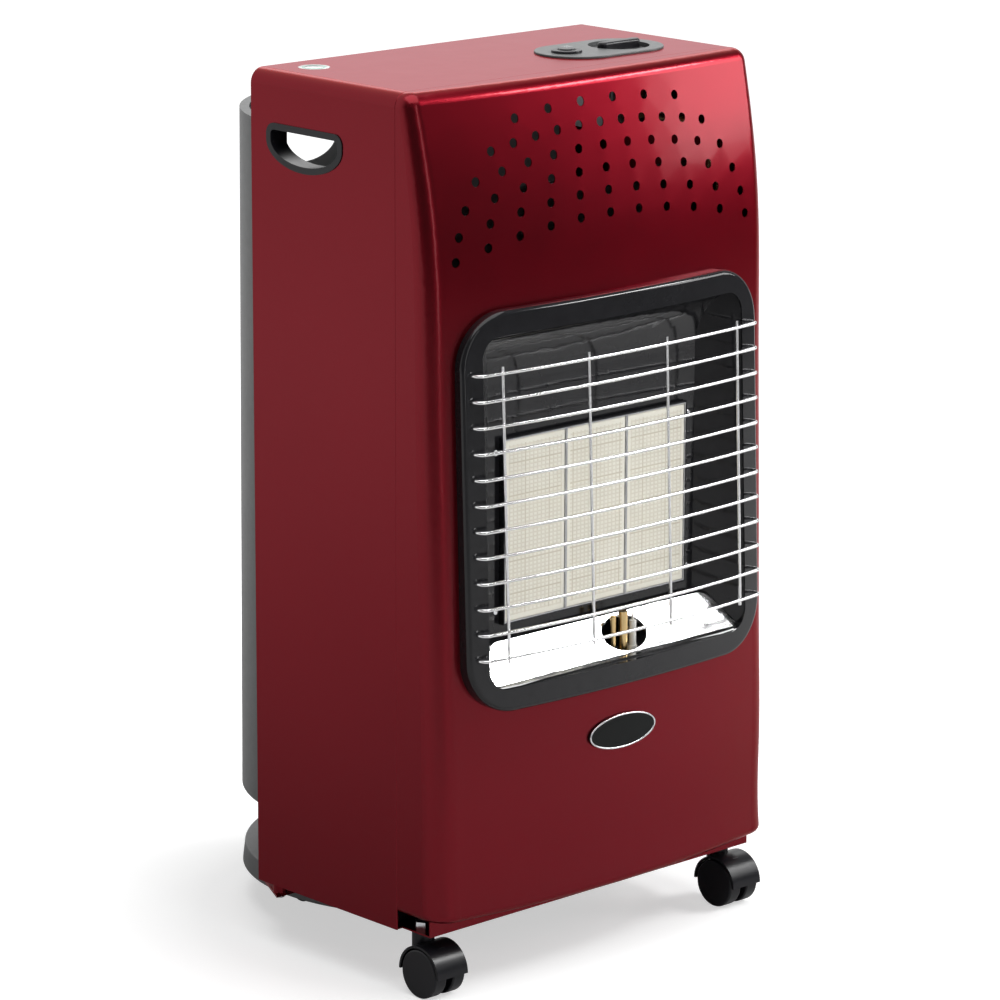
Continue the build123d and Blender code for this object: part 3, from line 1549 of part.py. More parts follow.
def make_caster(end, side):
    """Hood with its web, axle and twin wheels, trailing forwards of the stem."""
    x, swivel_y = stem_places(end)[sides.index(side)]
    under = floor_gap if end == "front" else carrier_z
    trail = front_trail if end == "front" else rear_trail
    wide = wheel_width if end == "front" else rear_wheel_width
    radius = wheel_radius(end)
    y = swivel_y - trail
    inside = radius + hood_gap
    outside = inside + hood_wall
    overall = web_width + 2 * web_gap + 2 * wide
    name = f"{end}_{side}"
    with BuildPart() as hood:
        with BuildSketch(level(radius)):
            with Locations((x, swivel_y)):
                Circle(boss_diameter / 2)
        extrude(amount=under - fit - radius)
        with BuildSketch(crossways(x - overall / 2)):
            with Locations((y, radius)):
                Circle(outside)
            with Locations((y, radius - outside)):
                Rectangle(3 * outside, 2 * outside, mode=Mode.SUBTRACT)
        extrude(amount=overall)
        with BuildSketch(crossways(x - overall)):
            with Locations((y, radius)):
                Circle(inside)
        extrude(amount=2 * overall, mode=Mode.SUBTRACT)
        with BuildSketch(crossways(x - web_width / 2)):
            with Locations((y, radius)):
                Circle(radius * web_share)
            with Locations((y, radius + inside / 2)):
                Rectangle(radius, inside)
        extrude(amount=web_width)
        with BuildSketch(crossways(x - overall)):
            with Locations((y, radius)):
                Circle(axle_diameter / 2 + slip)
        extrude(amount=2 * overall, mode=Mode.SUBTRACT)
        with BuildSketch(level(stem_foot(end) - fit)):
            with Locations((x, swivel_y)):
                Circle(stem_diameter / 2 + slip)
        extrude(amount=under, mode=Mode.SUBTRACT)
    save(hood.part, f"caster_hood_{name}")
    with BuildPart() as axle:
        with BuildSketch(crossways(x - overall / 2 + 1)):
            with Locations((y, radius)):
                Circle(axle_diameter / 2)
        extrude(amount=overall - 2)
    save(axle.part, f"caster_axle_{name}")
    with BuildPart() as wheels:
        for start in (x - overall / 2, x + web_width / 2 + web_gap):
            with BuildSketch(crossways(start)):
                with Locations((y, radius)):
                    Circle(radius)
            extrude(amount=wide)
        rims = wheels.edges().filter_by(GeomType.CIRCLE)
        fillet(rims, wide / 8)
        with BuildSketch(crossways(x - overall / 2 + 1)):
            with Locations((y, radius)):
                Circle(axle_diameter / 2)
        extrude(amount=overall - 2, mode=Mode.SUBTRACT)
    save(wheels.part, f"caster_wheels_{name}")


# ---------------------------------------------------------------- trim and fasteners
def make_badge():
    """Blank oval plate that follows the bowed face."""
    with BuildPart() as badge_plate:
        with BuildSketch(upright(seam)):
            with Locations((0, badge_z)):
                Ellipse(badge_length / 2, badge_width / 2)
        extrude(amount=front_reach)
        add(panel_block(-badge_thickness), mode=Mode.INTERSECT)
        add(panel_outer, mode=Mode.SUBTRACT)
    save(badge_plate.part, "badge_plate")


def screw_solid(plane, grip, shank, head, head_height):
    """Screw whose head stands on the plane and whose shank runs back by the grip."""
    with BuildPart() as screw:
        with BuildSketch(plane):
            Circle(head / 2)
        extrude(amount=head_height)
        top = screw.faces().sort_by(Axis(plane.origin, plane.z_dir))[-1]
        fillet(top.edges(), head_height / 2)
        with BuildSketch(plane):
            Circle(shank / 2)
        extrude(amount=-grip)
    return screw.part


def seam_screw_planes():
    return [Plane(origin=(x, seam + sheet, z), x_dir=(1, 0, 0), z_dir=(0, 1, 0))
            for x, z in seam_screws()]


def carrier_screw_planes():
    return [Plane(origin=(x, y, carrier_z), x_dir=(1, 0, 0), z_dir=(0, 0, -1))
            for x, y in spacer_places()]


def make_cabinet_screws():
    carrier_grip = floor_gap + base_sheet - carrier_z + screw_grip
    with BuildPart() as cabinet_screws:
        for plane in seam_screw_planes():
            add(screw_solid(plane, 2 * sheet + screw_grip, screw_shank, screw_head,
                            screw_head_height))
        for plane in carrier_screw_planes():
            add(screw_solid(plane, carrier_grip, screw_shank, screw_head,
                            screw_head_height))
    save(cabinet_screws.part, "cabinet_screws")


def make_window_screws():
    """Screws through the reflector's flange, the panel and the bezel's tabs."""
    flange_back = sheet + reflector_sheet
    with BuildPart() as shanks:
        with BuildSketch(face.offset(-panel_depth_foot)):
            with Locations(*window_screws()):
                Circle(screw_shank / 2)
        extrude(amount=panel_depth_foot)
        add(panel_block(-bezel_sheet - screw_shank / 2), mode=Mode.INTERSECT)
    with BuildPart() as window_screws_part:
        with BuildSketch(face.offset(-panel_depth_foot)):
            with Locations(*window_screws()):
                Circle(screw_head / 2)
        extrude(amount=panel_depth_foot)
        add(panel_block(flange_back), mode=Mode.INTERSECT)
        add(shanks.part)
        add(panel_block(flange_back + screw_head_height), mode=Mode.SUBTRACT)
    save(window_screws_part.part, "window_screws")


def make_burner_screws():
    """Screws beside the burner, and the shorter ones through the heads' tabs."""
    tab_back = frame_plate + frame_sheet + head_wall
    with BuildPart() as burner_screws:
        for x, z in frame_screws():
            plane = Plane(origin=(x, reflector_wall, z), x_dir=(1, 0, 0), z_dir=(0, -1, 0))
            add(screw_solid(plane, reflector_sheet + frame_sheet + screw_grip, small_shank,
                            small_head, small_head_height))
        for x, z in tab_screws():
            plane = Plane(origin=(x, tab_back, z), x_dir=(1, 0, 0), z_dir=(0, 1, 0))
            add(screw_solid(plane, head_wall + frame_sheet, small_shank, small_head,
                            small_head_height))
    save(burner_screws.part, "burner_screws")


# ---------------------------------------------------------------- the whole heater
panel_outer = panel_block(0)
panel_inner = panel_block(sheet)

make_front_panel()
make_cabinet_shell()
make_bezel()
make_guard()
make_reflector()
make_reflector_tray()
make_burner_frame()
for number in range(plaques):
    make_burner_head(number)
    make_plaque(number)
make_gaskets()
make_mixer_tubes()
make_injectors()
make_gas_rail()
make_injector_bracket()
make_pilot_bracket()
make_pilot_burner()
make_thermocouple()
make_spark_electrode()
make_pipes()
make_fascia()
make_knob()
make_spindle()
make_valve()
make_valve_bracket()
make_hose_nipple()
make_igniter()
make_base_plate()
make_carrier()
make_bottle_tray()
make_rear_cover()
make_heat_shield()
make_stems()
make_badge()
for which in sides:
    make_hand_insert(which)
    for where in ("front", "rear"):
        make_caster(where, which)
make_cabinet_screws()
make_window_screws()
make_burner_screws()
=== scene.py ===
"""Looks of the portable gas cabinet heater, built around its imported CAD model.

Metres, +Z up. The front faces -Y and the floor is z = 0, as in the CAD model. The camera
stands in front of the heater and to its left.
"""

import json
from math import cos, pi, radians, sin

import bpy
from mathutils import Matrix, Vector
from mathutils.bvhtree import BVHTree


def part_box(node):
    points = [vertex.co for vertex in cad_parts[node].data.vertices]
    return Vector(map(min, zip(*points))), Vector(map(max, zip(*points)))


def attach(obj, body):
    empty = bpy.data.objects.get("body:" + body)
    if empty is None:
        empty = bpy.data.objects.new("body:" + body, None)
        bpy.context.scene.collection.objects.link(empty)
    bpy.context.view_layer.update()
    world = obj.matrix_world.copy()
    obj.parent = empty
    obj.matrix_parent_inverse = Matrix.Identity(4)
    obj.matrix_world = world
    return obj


MM = 0.001

# camera
CAMERA_PLACE = (-2.5044, -2.7337, 1.2740)
CAMERA_YAW = 42.935          # degrees from +Y towards +X
CAMERA_PITCH = 14.006        # degrees below the horizon
CAMERA_ROLL = 0.183
CAMERA_LENS = 167.6          # millimetres, as is the sensor's width
SENSOR = 36.0
CAMERA_CLIP = (0.1, 100.0)

# stage
FLOOR_REACH = 15.0
FLOOR_COLOUR = (0.62, 0.62, 0.62)
CAMERA_GLOW = (0.55, 1.0)    # white that the camera sees, near the heater and far from it
CAMERA_GLOW_REACH = (0.22, 0.48)
GLOSS_GLOW = (0.0, 0.75)     # the same for gloss and glass
GLOSS_GLOW_REACH = (0.45, 2.4)
GLOSS_FRONT = (-1.3, -0.5)   # their glow fades out over this stretch in front
ROOM_LIGHT = 0.12            # start of gloss's ramp from the room in front to white behind
ROOM_RAMP = (-0.15, 0.45)    # that ramp's start and end, in the Y of a ray's direction
AMBIENT = 0.14               # the world's least strength, for every ray
LAMP_TARGET = (0, 0, 0.36)

# paint
FLAKE_SIZE = 0.45 * MM

# ceramic plaques: across, and up
PLAQUE_MARGIN = (0.055, 0.03)            # plain edge, as a share of the plaque
PORT_PITCH = (4.3 * MM, 3.3 * MM)
PORT_LINE = (0.26, 0.28)                 # reach from a line's middle, as a share of the pitch
GROOVE_PITCH = (25.8 * MM, 26.4 * MM)
GROOVE_LINE = (0.030, 0.035)
LINE_CORE = 0.45                         # share of that reach that has full depth
GROOVE_DEPTH = 0.25 * MM
PORT_DEPTH = 0.62                        # as a share of a groove's
PAINTED_SHADE_SHARE = 0.62                      # painted shade in ports and grooves: how far full depth goes towards the dark colour

# oval badge
BADGE_HALF_LENGTH = 36.5 * MM
BADGE_HALF_WIDTH = 14.0 * MM
BADGE_RIM = 0.8 * MM         # radius of the rim's tube
RIM_STEPS = 96
TUBE_SIDES = 10
RAY_LEAD = 1.0               # how far in front of the badge a ray starts

# blank round label on the top
LABEL_PLACE = (-145.8 * MM, 16.8 * MM)
LABEL_RADIUS = 12.5 * MM
LABEL_THICKNESS = 0.15 * MM
LABEL_RING = (0.62, 0.80)    # the ring's inner and outer radius, as shares of the label's
LABEL_RING_RISE = 0.4        # its height, as a share of the label's thickness
DISC_SIDES = 64

# spark printed on the fascia
MARK_THICKNESS = 0.08 * MM
SPARK_PLACE = (70.0 * MM, -44.0 * MM)
SPARK_STROKES = 8
SPARK_LENGTHS = (2.2 * MM, 3.2 * MM)     # of the even strokes, and of the odd ones
SPARK_WIDTH = 0.7 * MM
SPARK_HEART = 1.4 * MM                   # bare radius in the middle

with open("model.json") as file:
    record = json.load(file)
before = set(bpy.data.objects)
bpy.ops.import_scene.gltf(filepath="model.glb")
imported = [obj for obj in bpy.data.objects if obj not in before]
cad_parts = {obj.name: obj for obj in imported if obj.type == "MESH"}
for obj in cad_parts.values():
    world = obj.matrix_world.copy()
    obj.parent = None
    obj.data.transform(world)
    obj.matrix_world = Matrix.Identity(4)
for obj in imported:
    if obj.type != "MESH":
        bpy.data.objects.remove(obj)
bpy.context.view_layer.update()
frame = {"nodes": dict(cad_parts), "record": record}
nodes = frame["nodes"]


# ---------------------------------------------------------------- node helpers
def node(tree, kind, inputs=None, **settings):
    """Add a shader node. An input is a value or another node's output."""
    made = tree.nodes.new(kind)
    for key, value in settings.items():
        setattr(made, key, value)
    for key, value in (inputs or {}).items():
        if isinstance(value, bpy.types.NodeSocket):
            tree.links.new(value, made.inputs[key])
        else:
            made.inputs[key].default_value = value
    return made


def calculate(tree, operation, *values):
    """A Math node's result."""
    made = node(tree, "ShaderNodeMath", dict(enumerate(values)), operation=operation)
    return made.outputs[0]


def spread(tree, value, low, high, start=0.0, end=1.0):
    """The value brought from the range start to end into the range low to high."""
    made = node(tree, "ShaderNodeMapRange",
                {"Value": value, "From Min": start, "From Max": end,
                 "To Min": low, "To Max": high})
    return made.outputs["Result"]


def blend(tree, factor, low, high):
    """Colour from low to high; either may be a colour or an output."""
    made = tree.nodes.new("ShaderNodeMix")
    made.data_type = "RGBA"
    sockets = [s for s in made.inputs if s.type == "RGBA"]
    for target, value in zip(sockets, (low, high)):
        if isinstance(value, bpy.types.NodeSocket):
            tree.links.new(value, target)
        else:
            target.default_value = (*value, 1.0)
    tree.links.new(factor, made.inputs["Factor"])
    return [s for s in made.outputs if s.type == "RGBA"][0]


def places(tree):
    """Object coordinates: metres in the heater's own frame."""
    return node(tree, "ShaderNodeTexCoord").outputs["Object"]


def noise(tree, size, detail=2.0, stretch=None):
    """Noise with features of about this size in metres; a stretch scales its coordinates."""
    vector = places(tree)
    if stretch:
        vector = node(tree, "ShaderNodeMapping",
                      {"Vector": vector, "Scale": stretch}).outputs["Vector"]
    made = node(tree, "ShaderNodeTexNoise",
                {"Vector": vector, "Scale": 1 / size, "Detail": detail})
    return made.outputs["Fac"]


def bump(tree, height, distance, strength=1.0):
    """Normal from a height; the distance is the full height in metres."""
    made = node(tree, "ShaderNodeBump",
                {"Height": height, "Distance": distance, "Strength": strength})
    return made.outputs["Normal"]


def socket(shader, key):
    """The shader's socket that this lower-case key names."""
    return shader.inputs[key.replace("_", " ").title().replace("Ior", "IOR")]


def new_material(name, colour, metallic=0.0, roughness=0.5, **inputs):
    """A Principled material. Further inputs are socket values, named in lower case."""
    material = bpy.data.materials.new(name)
    material.use_nodes = True
    material.diffuse_color = (*colour, 1.0)
    shader = material.node_tree.nodes["Principled BSDF"]
    shader.inputs["Base Color"].default_value = (*colour, 1.0)
    shader.inputs["Metallic"].default_value = metallic
    shader.inputs["Roughness"].default_value = roughness
    for key, value in inputs.items():
        socket(shader, key).default_value = value
    return material, material.node_tree, shader


def connect(tree, shader, **outputs):
    """Link outputs to the shader's sockets."""
    for key, output in outputs.items():
        tree.links.new(output, socket(shader, key))


def tones(colour, low, high):
    """The colour times each of two factors, kept at 1 or below."""
    return [tuple(min(1.0, factor * c) for c in colour) for factor in (low, high)]


# ---------------------------------------------------------------- materials
def burgundy_paint():
    """Metallic burgundy under a clear lacquer, with fine flakes and faint orange peel."""
    material, tree, shader = new_material(
        "burgundy_paint", (0.172, 0.0050, 0.0115), metallic=1.0, roughness=0.33,
        specular_tint=(0.95, 0.26, 0.36, 1.0),
        coat_weight=0.6, coat_roughness=0.14, coat_ior=1.3)
    cloud = noise(tree, 0.16, detail=1.0)
    shaded = blend(tree, cloud, (0.164, 0.0047, 0.0109), (0.180, 0.0053, 0.0121))
    flakes = node(tree, "ShaderNodeTexVoronoi",
                  {"Vector": places(tree), "Scale": 1 / FLAKE_SIZE})
    glint = spread(tree, flakes.outputs["Distance"], 0.10, 0.0, start=0.05, end=0.30)
    colour = blend(tree, glint, shaded, (0.38, 0.02, 0.03))
    peel = noise(tree, 5 * MM, detail=1.0)
    connect(tree, shader, base_color=colour,
            roughness=spread(tree, noise(tree, 0.03), 0.31, 0.36),
            coat_normal=bump(tree, peel, 0.012 * MM))
    return material


def satin_coat(name, colour, roughness, grain=0.6 * MM, depth=0.03 * MM, shine=0.5):
    """Powder coat or moulded plastic with a fine even grain."""
    material, tree, shader = new_material(name, colour, roughness=roughness,
                                          specular_ior_level=shine)
    mottle = noise(tree, 0.02, detail=3.0)
    connect(tree, shader,
            base_color=blend(tree, mottle, *tones(colour, 0.86, 1.14)),
            roughness=spread(tree, noise(tree, 0.006), roughness - 0.05, roughness + 0.05),
            normal=bump(tree, noise(tree, grain), depth))
    return material


def black_enamel():
    """Glossy vitreous enamel, slightly wavy as fired glass is."""
    material, tree, shader = new_material(
        "black_enamel", (0.012, 0.012, 0.0135), roughness=0.07, specular_ior_level=0.34)
    wave = noise(tree, 0.035, detail=1.0)
    ripple = noise(tree, 7 * MM, detail=0.0)
    height = calculate(tree, "ADD", wave, calculate(tree, "MULTIPLY", ripple, 0.06))
    connect(tree, shader,
            base_color=blend(tree, noise(tree, 0.012), (0.010, 0.010, 0.0115),
                             (0.016, 0.016, 0.018)),
            roughness=spread(tree, noise(tree, 0.02, detail=4.0), 0.05, 0.12),
            normal=bump(tree, height, 0.16 * MM))
    return material


def bare_metal(name, colour, roughness, grain, streak=None, depth=0.01 * MM):
    """Metal with fine variation; a streak scales its grain's coordinates."""
    material, tree, shader = new_material(name, colour, metallic=1.0, roughness=roughness)
    mottle = noise(tree, 0.01, detail=3.0)
    fine = noise(tree, grain, detail=3.0, stretch=streak)
    connect(tree, shader, base_color=blend(tree, mottle, *tones(colour, 0.85, 1.08)),
            roughness=spread(tree, fine, 0.7 * roughness, 1.3 * roughness),
            normal=bump(tree, fine, depth))
    return material


def mirror_steel():
    """Polished sheet with the slow waves that bend what it mirrors, and painted reflection: a
    grey mottle in its colour.
    """
    material, tree, shader = new_material(
        "mirror_steel", (0.93, 0.93, 0.94), metallic=1.0, roughness=0.10)
    wave = noise(tree, 0.045, detail=2.0, stretch=(1.0, 1.6, 1.0))
    connect(tree, shader,
            # painted reflection: grey mottle that stands in for the sheet's marbled reflections
            base_color=blend(tree, noise(tree, 0.03, detail=5.0), (0.82, 0.82, 0.83),
                             (0.97, 0.97, 0.97)),
            roughness=spread(tree, noise(tree, 0.02, detail=3.0), 0.06, 0.16),
            normal=bump(tree, wave, 0.9 * MM))
    return material


def off_middle(tree, value):
    """How far a value between 0 and 1 is from 0.5."""
    return calculate(tree, "ABSOLUTE", calculate(tree, "SUBTRACT", value, 0.5))


def lattice(tree, place, pitches, reaches):
    """Soft lines across X and across Z: 1 in their core, and 0 past their reach."""
    lines = []
    for axis, pitch, reach in zip("XZ", pitches, reaches):
        turn = calculate(tree, "FRACT",
                         calculate(tree, "DIVIDE", place.outputs[axis], pitch))
        lines.append(spread(tree, off_middle(tree, turn), 0.0, 1.0,
                            start=0.5 - reach, end=0.5 - LINE_CORE * reach))
    return calculate(tree, "MAXIMUM", *lines)


def perforated_ceramic():
    """Cream ceramic: a fine lattice for the ports, shallow grooves and a plain margin; ports and
    grooves get painted shade.
    """
    material, tree, shader = new_material(
        "perforated_ceramic", (0.86, 0.83, 0.73), roughness=0.85)
    coordinates = node(tree, "ShaderNodeTexCoord")
    place = node(tree, "ShaderNodeSeparateXYZ", {"Vector": coordinates.outputs["Object"]})
    share = node(tree, "ShaderNodeSeparateXYZ", {"Vector": coordinates.outputs["Generated"]})
    inner = calculate(tree, "MULTIPLY", *(
        calculate(tree, "LESS_THAN", off_middle(tree, share.outputs[axis]), 0.5 - margin)
        for axis, margin in zip("XZ", PLAQUE_MARGIN)))
    fine = lattice(tree, place, PORT_PITCH, PORT_LINE)
    groove = lattice(tree, place, GROOVE_PITCH, GROOVE_LINE)
    ports = calculate(tree, "MULTIPLY", calculate(tree, "MULTIPLY", fine, PORT_DEPTH),
                      spread(tree, noise(tree, 0.009, detail=3.0), 0.55, 1.2))
    depth = calculate(tree, "MULTIPLY", inner, calculate(tree, "MAXIMUM", ports, groove))
    cream = blend(tree, noise(tree, 0.02, detail=4.0), (0.90, 0.87, 0.75), (0.96, 0.94, 0.84))
    # painted shade: ports and grooves darken towards brown with their depth
    painted_shade = calculate(tree, "MULTIPLY", depth, PAINTED_SHADE_SHARE)
    relief = calculate(tree, "SUBTRACT", 1.0, depth)
    connect(tree, shader, base_color=blend(tree, painted_shade, cream, (0.62, 0.55, 0.42)),
            normal=bump(tree, relief, GROOVE_DEPTH, strength=0.6))
    return material


def woven_fibre():
    """Mineral fibre tape: a small plain weave."""
    material, tree, shader = new_material("woven_fibre", (0.72, 0.71, 0.66), roughness=0.95)
    weave = node(tree, "ShaderNodeTexBrick",
                 {"Vector": places(tree), "Scale": 1.0, "Brick Width": 1.4 * MM,
                  "Row Height": 0.7 * MM, "Mortar Size": 0.12 * MM})
    connect(tree, shader,
            base_color=blend(tree, noise(tree, 2 * MM), (0.60, 0.59, 0.54), (0.80, 0.79, 0.74)),
            normal=bump(tree, weave.outputs["Fac"], -0.1 * MM))
    return material


def lacquer(name, colour, roughness):
    """Smooth printed or lacquered surface with a little mottling."""
    material, tree, shader = new_material(name, colour, roughness=roughness, coat_weight=0.6,
                                          coat_roughness=0.05)
    connect(tree, shader,
            base_color=blend(tree, noise(tree, 4 * MM), *tones(colour, 0.92, 1.0)),
            roughness=spread(tree, noise(tree, 3 * MM), roughness, 1.3 * roughness))
    return material


PAINT = burgundy_paint()
ENAMEL = black_enamel()
WIRE = bare_metal("plated_wire", (0.90, 0.90, 0.91), roughness=0.20, grain=1.5 * MM)
MIRROR = mirror_steel()
CERAMIC = perforated_ceramic()
STEEL = bare_metal("aluminised_steel", (0.58, 0.58, 0.60), roughness=0.32, grain=1.2 * MM,
                   streak=(1, 1, 0.12))
ZINC = bare_metal("bright_zinc", (0.78, 0.79, 0.81), roughness=0.22, grain=1.0 * MM)
BRASS = bare_metal("turned_brass", (0.78, 0.56, 0.27), roughness=0.24, grain=0.6 * MM,
                   streak=(1, 1, 6))
CAST = bare_metal("cast_aluminium", (0.60, 0.61, 0.62), roughness=0.42, grain=1.5 * MM,
                  depth=0.06 * MM)
# near-black coat given to the heat shield in place of its slot's finish
DARK_SHIELD_COAT = satin_coat("dark_heat_shield", (0.016, 0.015, 0.014), roughness=0.60,
                    grain=1.2 * MM, depth=0.05 * MM)
GREY_COAT = satin_coat("grey_powder_coat", (0.072, 0.074, 0.075), roughness=0.42)
FASCIA = satin_coat("fascia_grey", (0.095, 0.100, 0.100), roughness=0.34,
                    grain=0.4 * MM, depth=0.015 * MM, shine=0.2)
PLASTIC = satin_coat("black_plastic", (0.008, 0.008, 0.0105), roughness=0.30,
                     grain=0.4 * MM, depth=0.01 * MM, shine=0.3)
INSULATOR = lacquer("glazed_insulator", (0.88, 0.87, 0.82), roughness=0.15)
FIBRE = woven_fibre()
BADGE_FACE = satin_coat("badge_black", (0.006, 0.007, 0.007), roughness=0.42,
                        grain=0.5 * MM, depth=0.01 * MM, shine=0.15)
PRINT = lacquer("white_print", (0.70, 0.71, 0.71), roughness=0.35)
LABEL_SILVER = lacquer("label_silver", (0.62, 0.66, 0.64), roughness=0.25)
LABEL_GREEN = lacquer("label_green", (0.12, 0.42, 0.30), roughness=0.25)

SLOT_FINISH = {
    "cabinet_paint": PAINT,
    "grey_paint": GREY_COAT,
    "black_enamel": ENAMEL,
    "bright_wire": WIRE,
    "mirror_steel": MIRROR,
    "ceramic": CERAMIC,
    "steel": STEEL,
    "zinc": ZINC,
    "gasket_fibre": FIBRE,
    "brass": BRASS,
    "valve_metal": CAST,
    "insulator": INSULATOR,
    "fascia_grey": FASCIA,
    "black_plastic": PLASTIC,
    "badge_black": BADGE_FACE,
}

# nodes that look different from their slot
NODE_FINISH = {"heat_shield": DARK_SHIELD_COAT}


def finish_nodes():
    """Give every CAD node its own finish, or else that of its slot in the record."""
    for part in frame["record"]["subparts"]:
        name = part["node"]
        mesh = nodes[name].data
        mesh.materials.clear()
        mesh.materials.append(NODE_FINISH.get(name, SLOT_FINISH[part["material_slot"]]))


# ---------------------------------------------------------------- pieces
def new_piece(name, vertices, faces, material, body, smooth=True):
    """A mesh piece of this material, which rides on a body."""
    mesh = bpy.data.meshes.new(name)
    mesh.from_pydata([tuple(v) for v in vertices], [], faces)
    mesh.materials.append(material)
    if smooth:
        mesh.shade_smooth()
    else:
        mesh.shade_flat()
    piece = bpy.data.objects.new(name, mesh)
    bpy.context.scene.collection.objects.link(piece)
    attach(piece, body)
    return piece


def surface(name):
    """Ray target of a CAD node."""
    mesh = nodes[name].data
    return BVHTree.FromPolygons([v.co for v in mesh.vertices],
                                [p.vertices for p in mesh.polygons])


def ring_tube(centres, outward, radius, sides=TUBE_SIDES):
    """Closed tube along the centres; each outward vector lies across it."""
    vertices, faces = [], []
    count = len(centres)
    for i, centre in enumerate(centres):
        along = (centres[(i + 1) % count] - centres[i - 1]).normalized()
        across = outward[i].normalized()
        up = along.cross(across)
        for k in range(sides):
            turn = 2 * pi * k / sides
            vertices.append(centre + radius * (cos(turn) * across + sin(turn) * up))
    for i in range(count):
        for k in range(sides):
            a, b = i * sides, (i + 1) % count * sides
            faces.append((a + k, b + k, b + (k + 1) % sides, a + (k + 1) % sides))
    return vertices, faces


def make_badge_rim():
    """Bright rim around the blank badge, on its bowed face."""
    low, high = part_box("badge_plate")
    middle = (low + high) / 2
    target = surface("badge_plate")
    centres, outward = [], []
    for i in range(RIM_STEPS):
        turn = 2 * pi * i / RIM_STEPS
        x = (BADGE_HALF_LENGTH - BADGE_RIM) * cos(turn)
        z = (BADGE_HALF_WIDTH - BADGE_RIM) * sin(turn)
        start = Vector((middle.x + x, low.y - RAY_LEAD, middle.z + z))
        centres.append(target.ray_cast(start, (0, 1, 0))[0])
        outward.append(Vector((x / BADGE_HALF_LENGTH ** 2, 0, z / BADGE_HALF_WIDTH ** 2)))
    vertices, faces = ring_tube(centres, outward, BADGE_RIM)
    new_piece("badge_rim", vertices, faces, ZINC, "cabinet")


def disc(centre, radius, rise, inner=0.0, sides=DISC_SIDES):
    """Raised disc or ring on a level face."""
    vertices, faces = [], []
    for reach, z in ((inner, rise), (radius - rise, rise), (radius, 0.0)):
        for k in range(sides):
            turn = 2 * pi * k / sides
            vertices.append(centre + Vector((reach * cos(turn), reach * sin(turn), z)))
    for row in range(2):
        for k in range(sides):
            a, b = row * sides + k, row * sides + (k + 1) % sides
            faces.append((a, a + sides, b + sides, b))
    return vertices, faces


def make_top_label():
    """Blank round label near the left edge of the top."""
    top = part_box("cabinet_shell")[1].z
    centre = Vector((*LABEL_PLACE, top))
    vertices, faces = disc(centre, LABEL_RADIUS, LABEL_THICKNESS)
    new_piece("top_label", vertices, faces, LABEL_SILVER, "cabinet")
    above = centre + Vector((0, 0, LABEL_THICKNESS))
    inner, outer = (share * LABEL_RADIUS for share in LABEL_RING)
    vertices, faces = disc(above, outer, LABEL_RING_RISE * LABEL_THICKNESS, inner)
    new_piece("top_label_ring", vertices, faces, LABEL_GREEN, "cabinet")


def make_fascia_marks():
    """Printed spark beside the igniter button."""
    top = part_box("control_fascia")[1].z
    vertices, faces = [], []

    def stroke(middle, direction, long, wide):
        side = Vector((-direction.y, direction.x, 0))
        corners = [middle + sx * direction * long / 2 + sy * side * wide / 2
                   for sx, sy in ((-1, -1), (1, -1), (1, 1), (-1, 1))]
        start = len(vertices)
        vertices.extend(c + Vector((0, 0, MARK_THICKNESS)) for c in corners)
        faces.append(tuple(range(start, start + 4)))

    for i in range(SPARK_STROKES):
        turn = 2 * pi * i / SPARK_STROKES
        direction = Vector((cos(turn), sin(turn), 0))
        long = SPARK_LENGTHS[i % 2]
        middle = Vector((*SPARK_PLACE, top)) + direction * (SPARK_HEART + long / 2)
        stroke(middle, direction, long, SPARK_WIDTH)
    new_piece("fascia_marks", vertices, faces, PRINT, "cabinet", smooth=False)


# ---------------------------------------------------------------- stage
def background_rays(tree):
    """The rays that show the background: 1 for the camera's, and 1 for gloss and glass."""
    rays = node(tree, "ShaderNodeLightPath")
    mirrored = calculate(tree, "MAXIMUM", rays.outputs["Is Glossy Ray"],
                         rays.outputs["Is Transmission Ray"])
    return rays.outputs["Is Camera Ray"], mirrored


def make_floor():
    """Pale floor: seen white, but it keeps the heater's shadow."""
    mesh = bpy.data.meshes.new("floor")
    reach = FLOOR_REACH
    mesh.from_pydata([(-reach, -reach, 0), (reach, -reach, 0),
                      (reach, reach, 0), (-reach, reach, 0)], [], [(0, 1, 2, 3)])
    floor = bpy.data.objects.new("floor", mesh)
    bpy.context.scene.collection.objects.link(floor)
    material, tree, shader = new_material("pale_floor", FLOOR_COLOUR, roughness=0.9,
                                          specular_ior_level=0.0)
    mesh.materials.append(material)
    place = places(tree)
    distance = node(tree, "ShaderNodeVectorMath", {0: place}, operation="LENGTH").outputs["Value"]
    depth = node(tree, "ShaderNodeSeparateXYZ", {"Vector": place}).outputs["Y"]
    seen, mirrored = background_rays(tree)
    seen_glow = spread(tree, distance, *CAMERA_GLOW, *CAMERA_GLOW_REACH)
    mirrored_glow = calculate(tree, "MULTIPLY",
                              spread(tree, distance, *GLOSS_GLOW, *GLOSS_GLOW_REACH),
                              spread(tree, depth, 0.0, 1.0, *GLOSS_FRONT))
    strength = calculate(tree, "ADD", calculate(tree, "MULTIPLY", seen, seen_glow),
                         calculate(tree, "MULTIPLY", mirrored, mirrored_glow))
    glow = node(tree, "ShaderNodeEmission", {"Color": (1, 1, 1, 1), "Strength": strength})
    both = node(tree, "ShaderNodeAddShader",
                {0: shader.outputs["BSDF"], 1: glow.outputs["Emission"]})
    tree.links.new(both.outputs["Shader"], tree.nodes["Material Output"].inputs["Surface"])


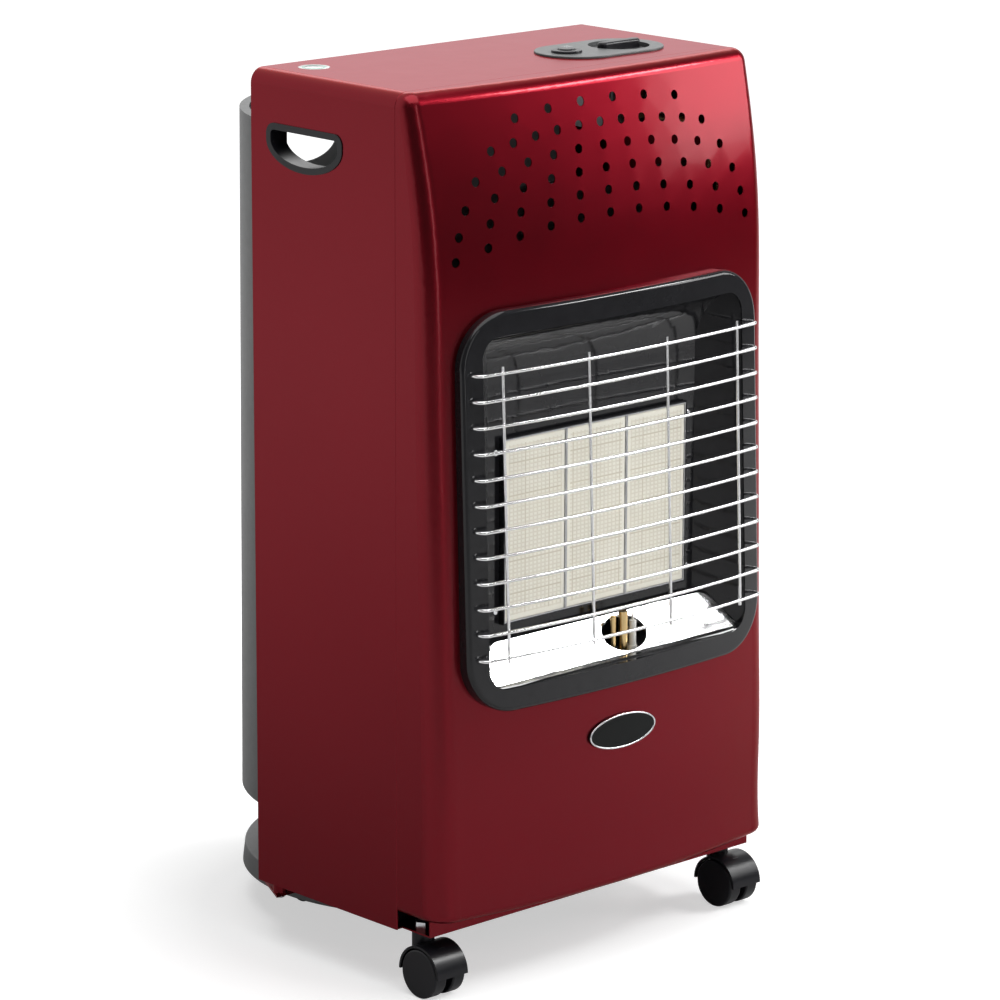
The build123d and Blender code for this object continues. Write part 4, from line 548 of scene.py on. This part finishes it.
def make_world():
    """White background. Behind the heater gloss shows it too; the room in front is dim."""
    world = bpy.data.worlds.new("studio")
    bpy.context.scene.world = world
    world.use_nodes = True
    tree = world.node_tree
    tree.nodes.clear()
    direction = node(tree, "ShaderNodeSeparateXYZ",
                     {"Vector": node(tree, "ShaderNodeTexCoord").outputs["Generated"]})
    seen, mirrored = background_rays(tree)
    room = spread(tree, direction.outputs["Y"], ROOM_LIGHT, 1.0, *ROOM_RAMP)
    strength = calculate(tree, "MAXIMUM", seen, calculate(tree, "MULTIPLY", mirrored, room))
    strength = calculate(tree, "MAXIMUM", strength, AMBIENT)
    back = node(tree, "ShaderNodeBackground", {"Color": (1, 1, 1, 1), "Strength": strength})
    out = node(tree, "ShaderNodeOutputWorld")
    tree.links.new(back.outputs["Background"], out.inputs["Surface"])


def add_softbox(name, azimuth, elevation, distance, width, height, power):
    """Area lamp aimed at the heater: degrees from -Y towards +X and above level, watts."""
    turn, rise = radians(azimuth), radians(elevation)
    target = Vector(LAMP_TARGET)
    away = Vector((sin(turn) * cos(rise), -cos(turn) * cos(rise), sin(rise)))
    lamp = bpy.data.lights.new(name, "AREA")
    lamp.shape = "RECTANGLE"
    lamp.size, lamp.size_y = width, height
    lamp.energy = power
    softbox = bpy.data.objects.new(name, lamp)
    softbox.location = target + distance * away
    softbox.rotation_mode = "QUATERNION"
    softbox.rotation_quaternion = away.to_track_quat("Z", "Y")
    softbox.visible_camera = False
    bpy.context.scene.collection.objects.link(softbox)


def make_camera():
    """The scene's camera, from its place, its three angles and its lens."""
    yaw, pitch, roll = radians(CAMERA_YAW), radians(CAMERA_PITCH), radians(CAMERA_ROLL)
    look = Vector((sin(yaw) * cos(pitch), cos(yaw) * cos(pitch), -sin(pitch)))
    right = Vector((cos(yaw), -sin(yaw), 0))
    up = right.cross(look)
    across = cos(roll) * right + sin(roll) * up
    above = -sin(roll) * right + cos(roll) * up
    lens = bpy.data.cameras.new("camera")
    lens.sensor_width = SENSOR
    lens.lens = CAMERA_LENS
    lens.clip_start, lens.clip_end = CAMERA_CLIP
    camera = bpy.data.objects.new("camera", lens)
    camera.matrix_world = Matrix((across, above, -look)).transposed().to_4x4()
    camera.location = CAMERA_PLACE
    bpy.context.scene.collection.objects.link(camera)
    bpy.context.scene.camera = camera


# ---------------------------------------------------------------- the whole scene
finish_nodes()
make_badge_rim()
make_top_label()
make_fascia_marks()
make_floor()
make_world()
add_softbox("overhead", azimuth=-20, elevation=76, distance=2.4, width=2.6, height=2.6, power=52)
add_softbox("key", azimuth=58, elevation=18, distance=3.0, width=1.0, height=1.1, power=24)
add_softbox("edge", azimuth=50, elevation=35, distance=2.6, width=0.9, height=0.3, power=28)
add_softbox("rim", azimuth=137, elevation=34, distance=3.0, width=2.4, height=0.8, power=11)
add_softbox("strip", azimuth=-10, elevation=12, distance=3.0, width=0.4, height=2.2, power=8)
make_camera()

scene = bpy.context.scene
scene.view_settings.view_transform = "Standard"
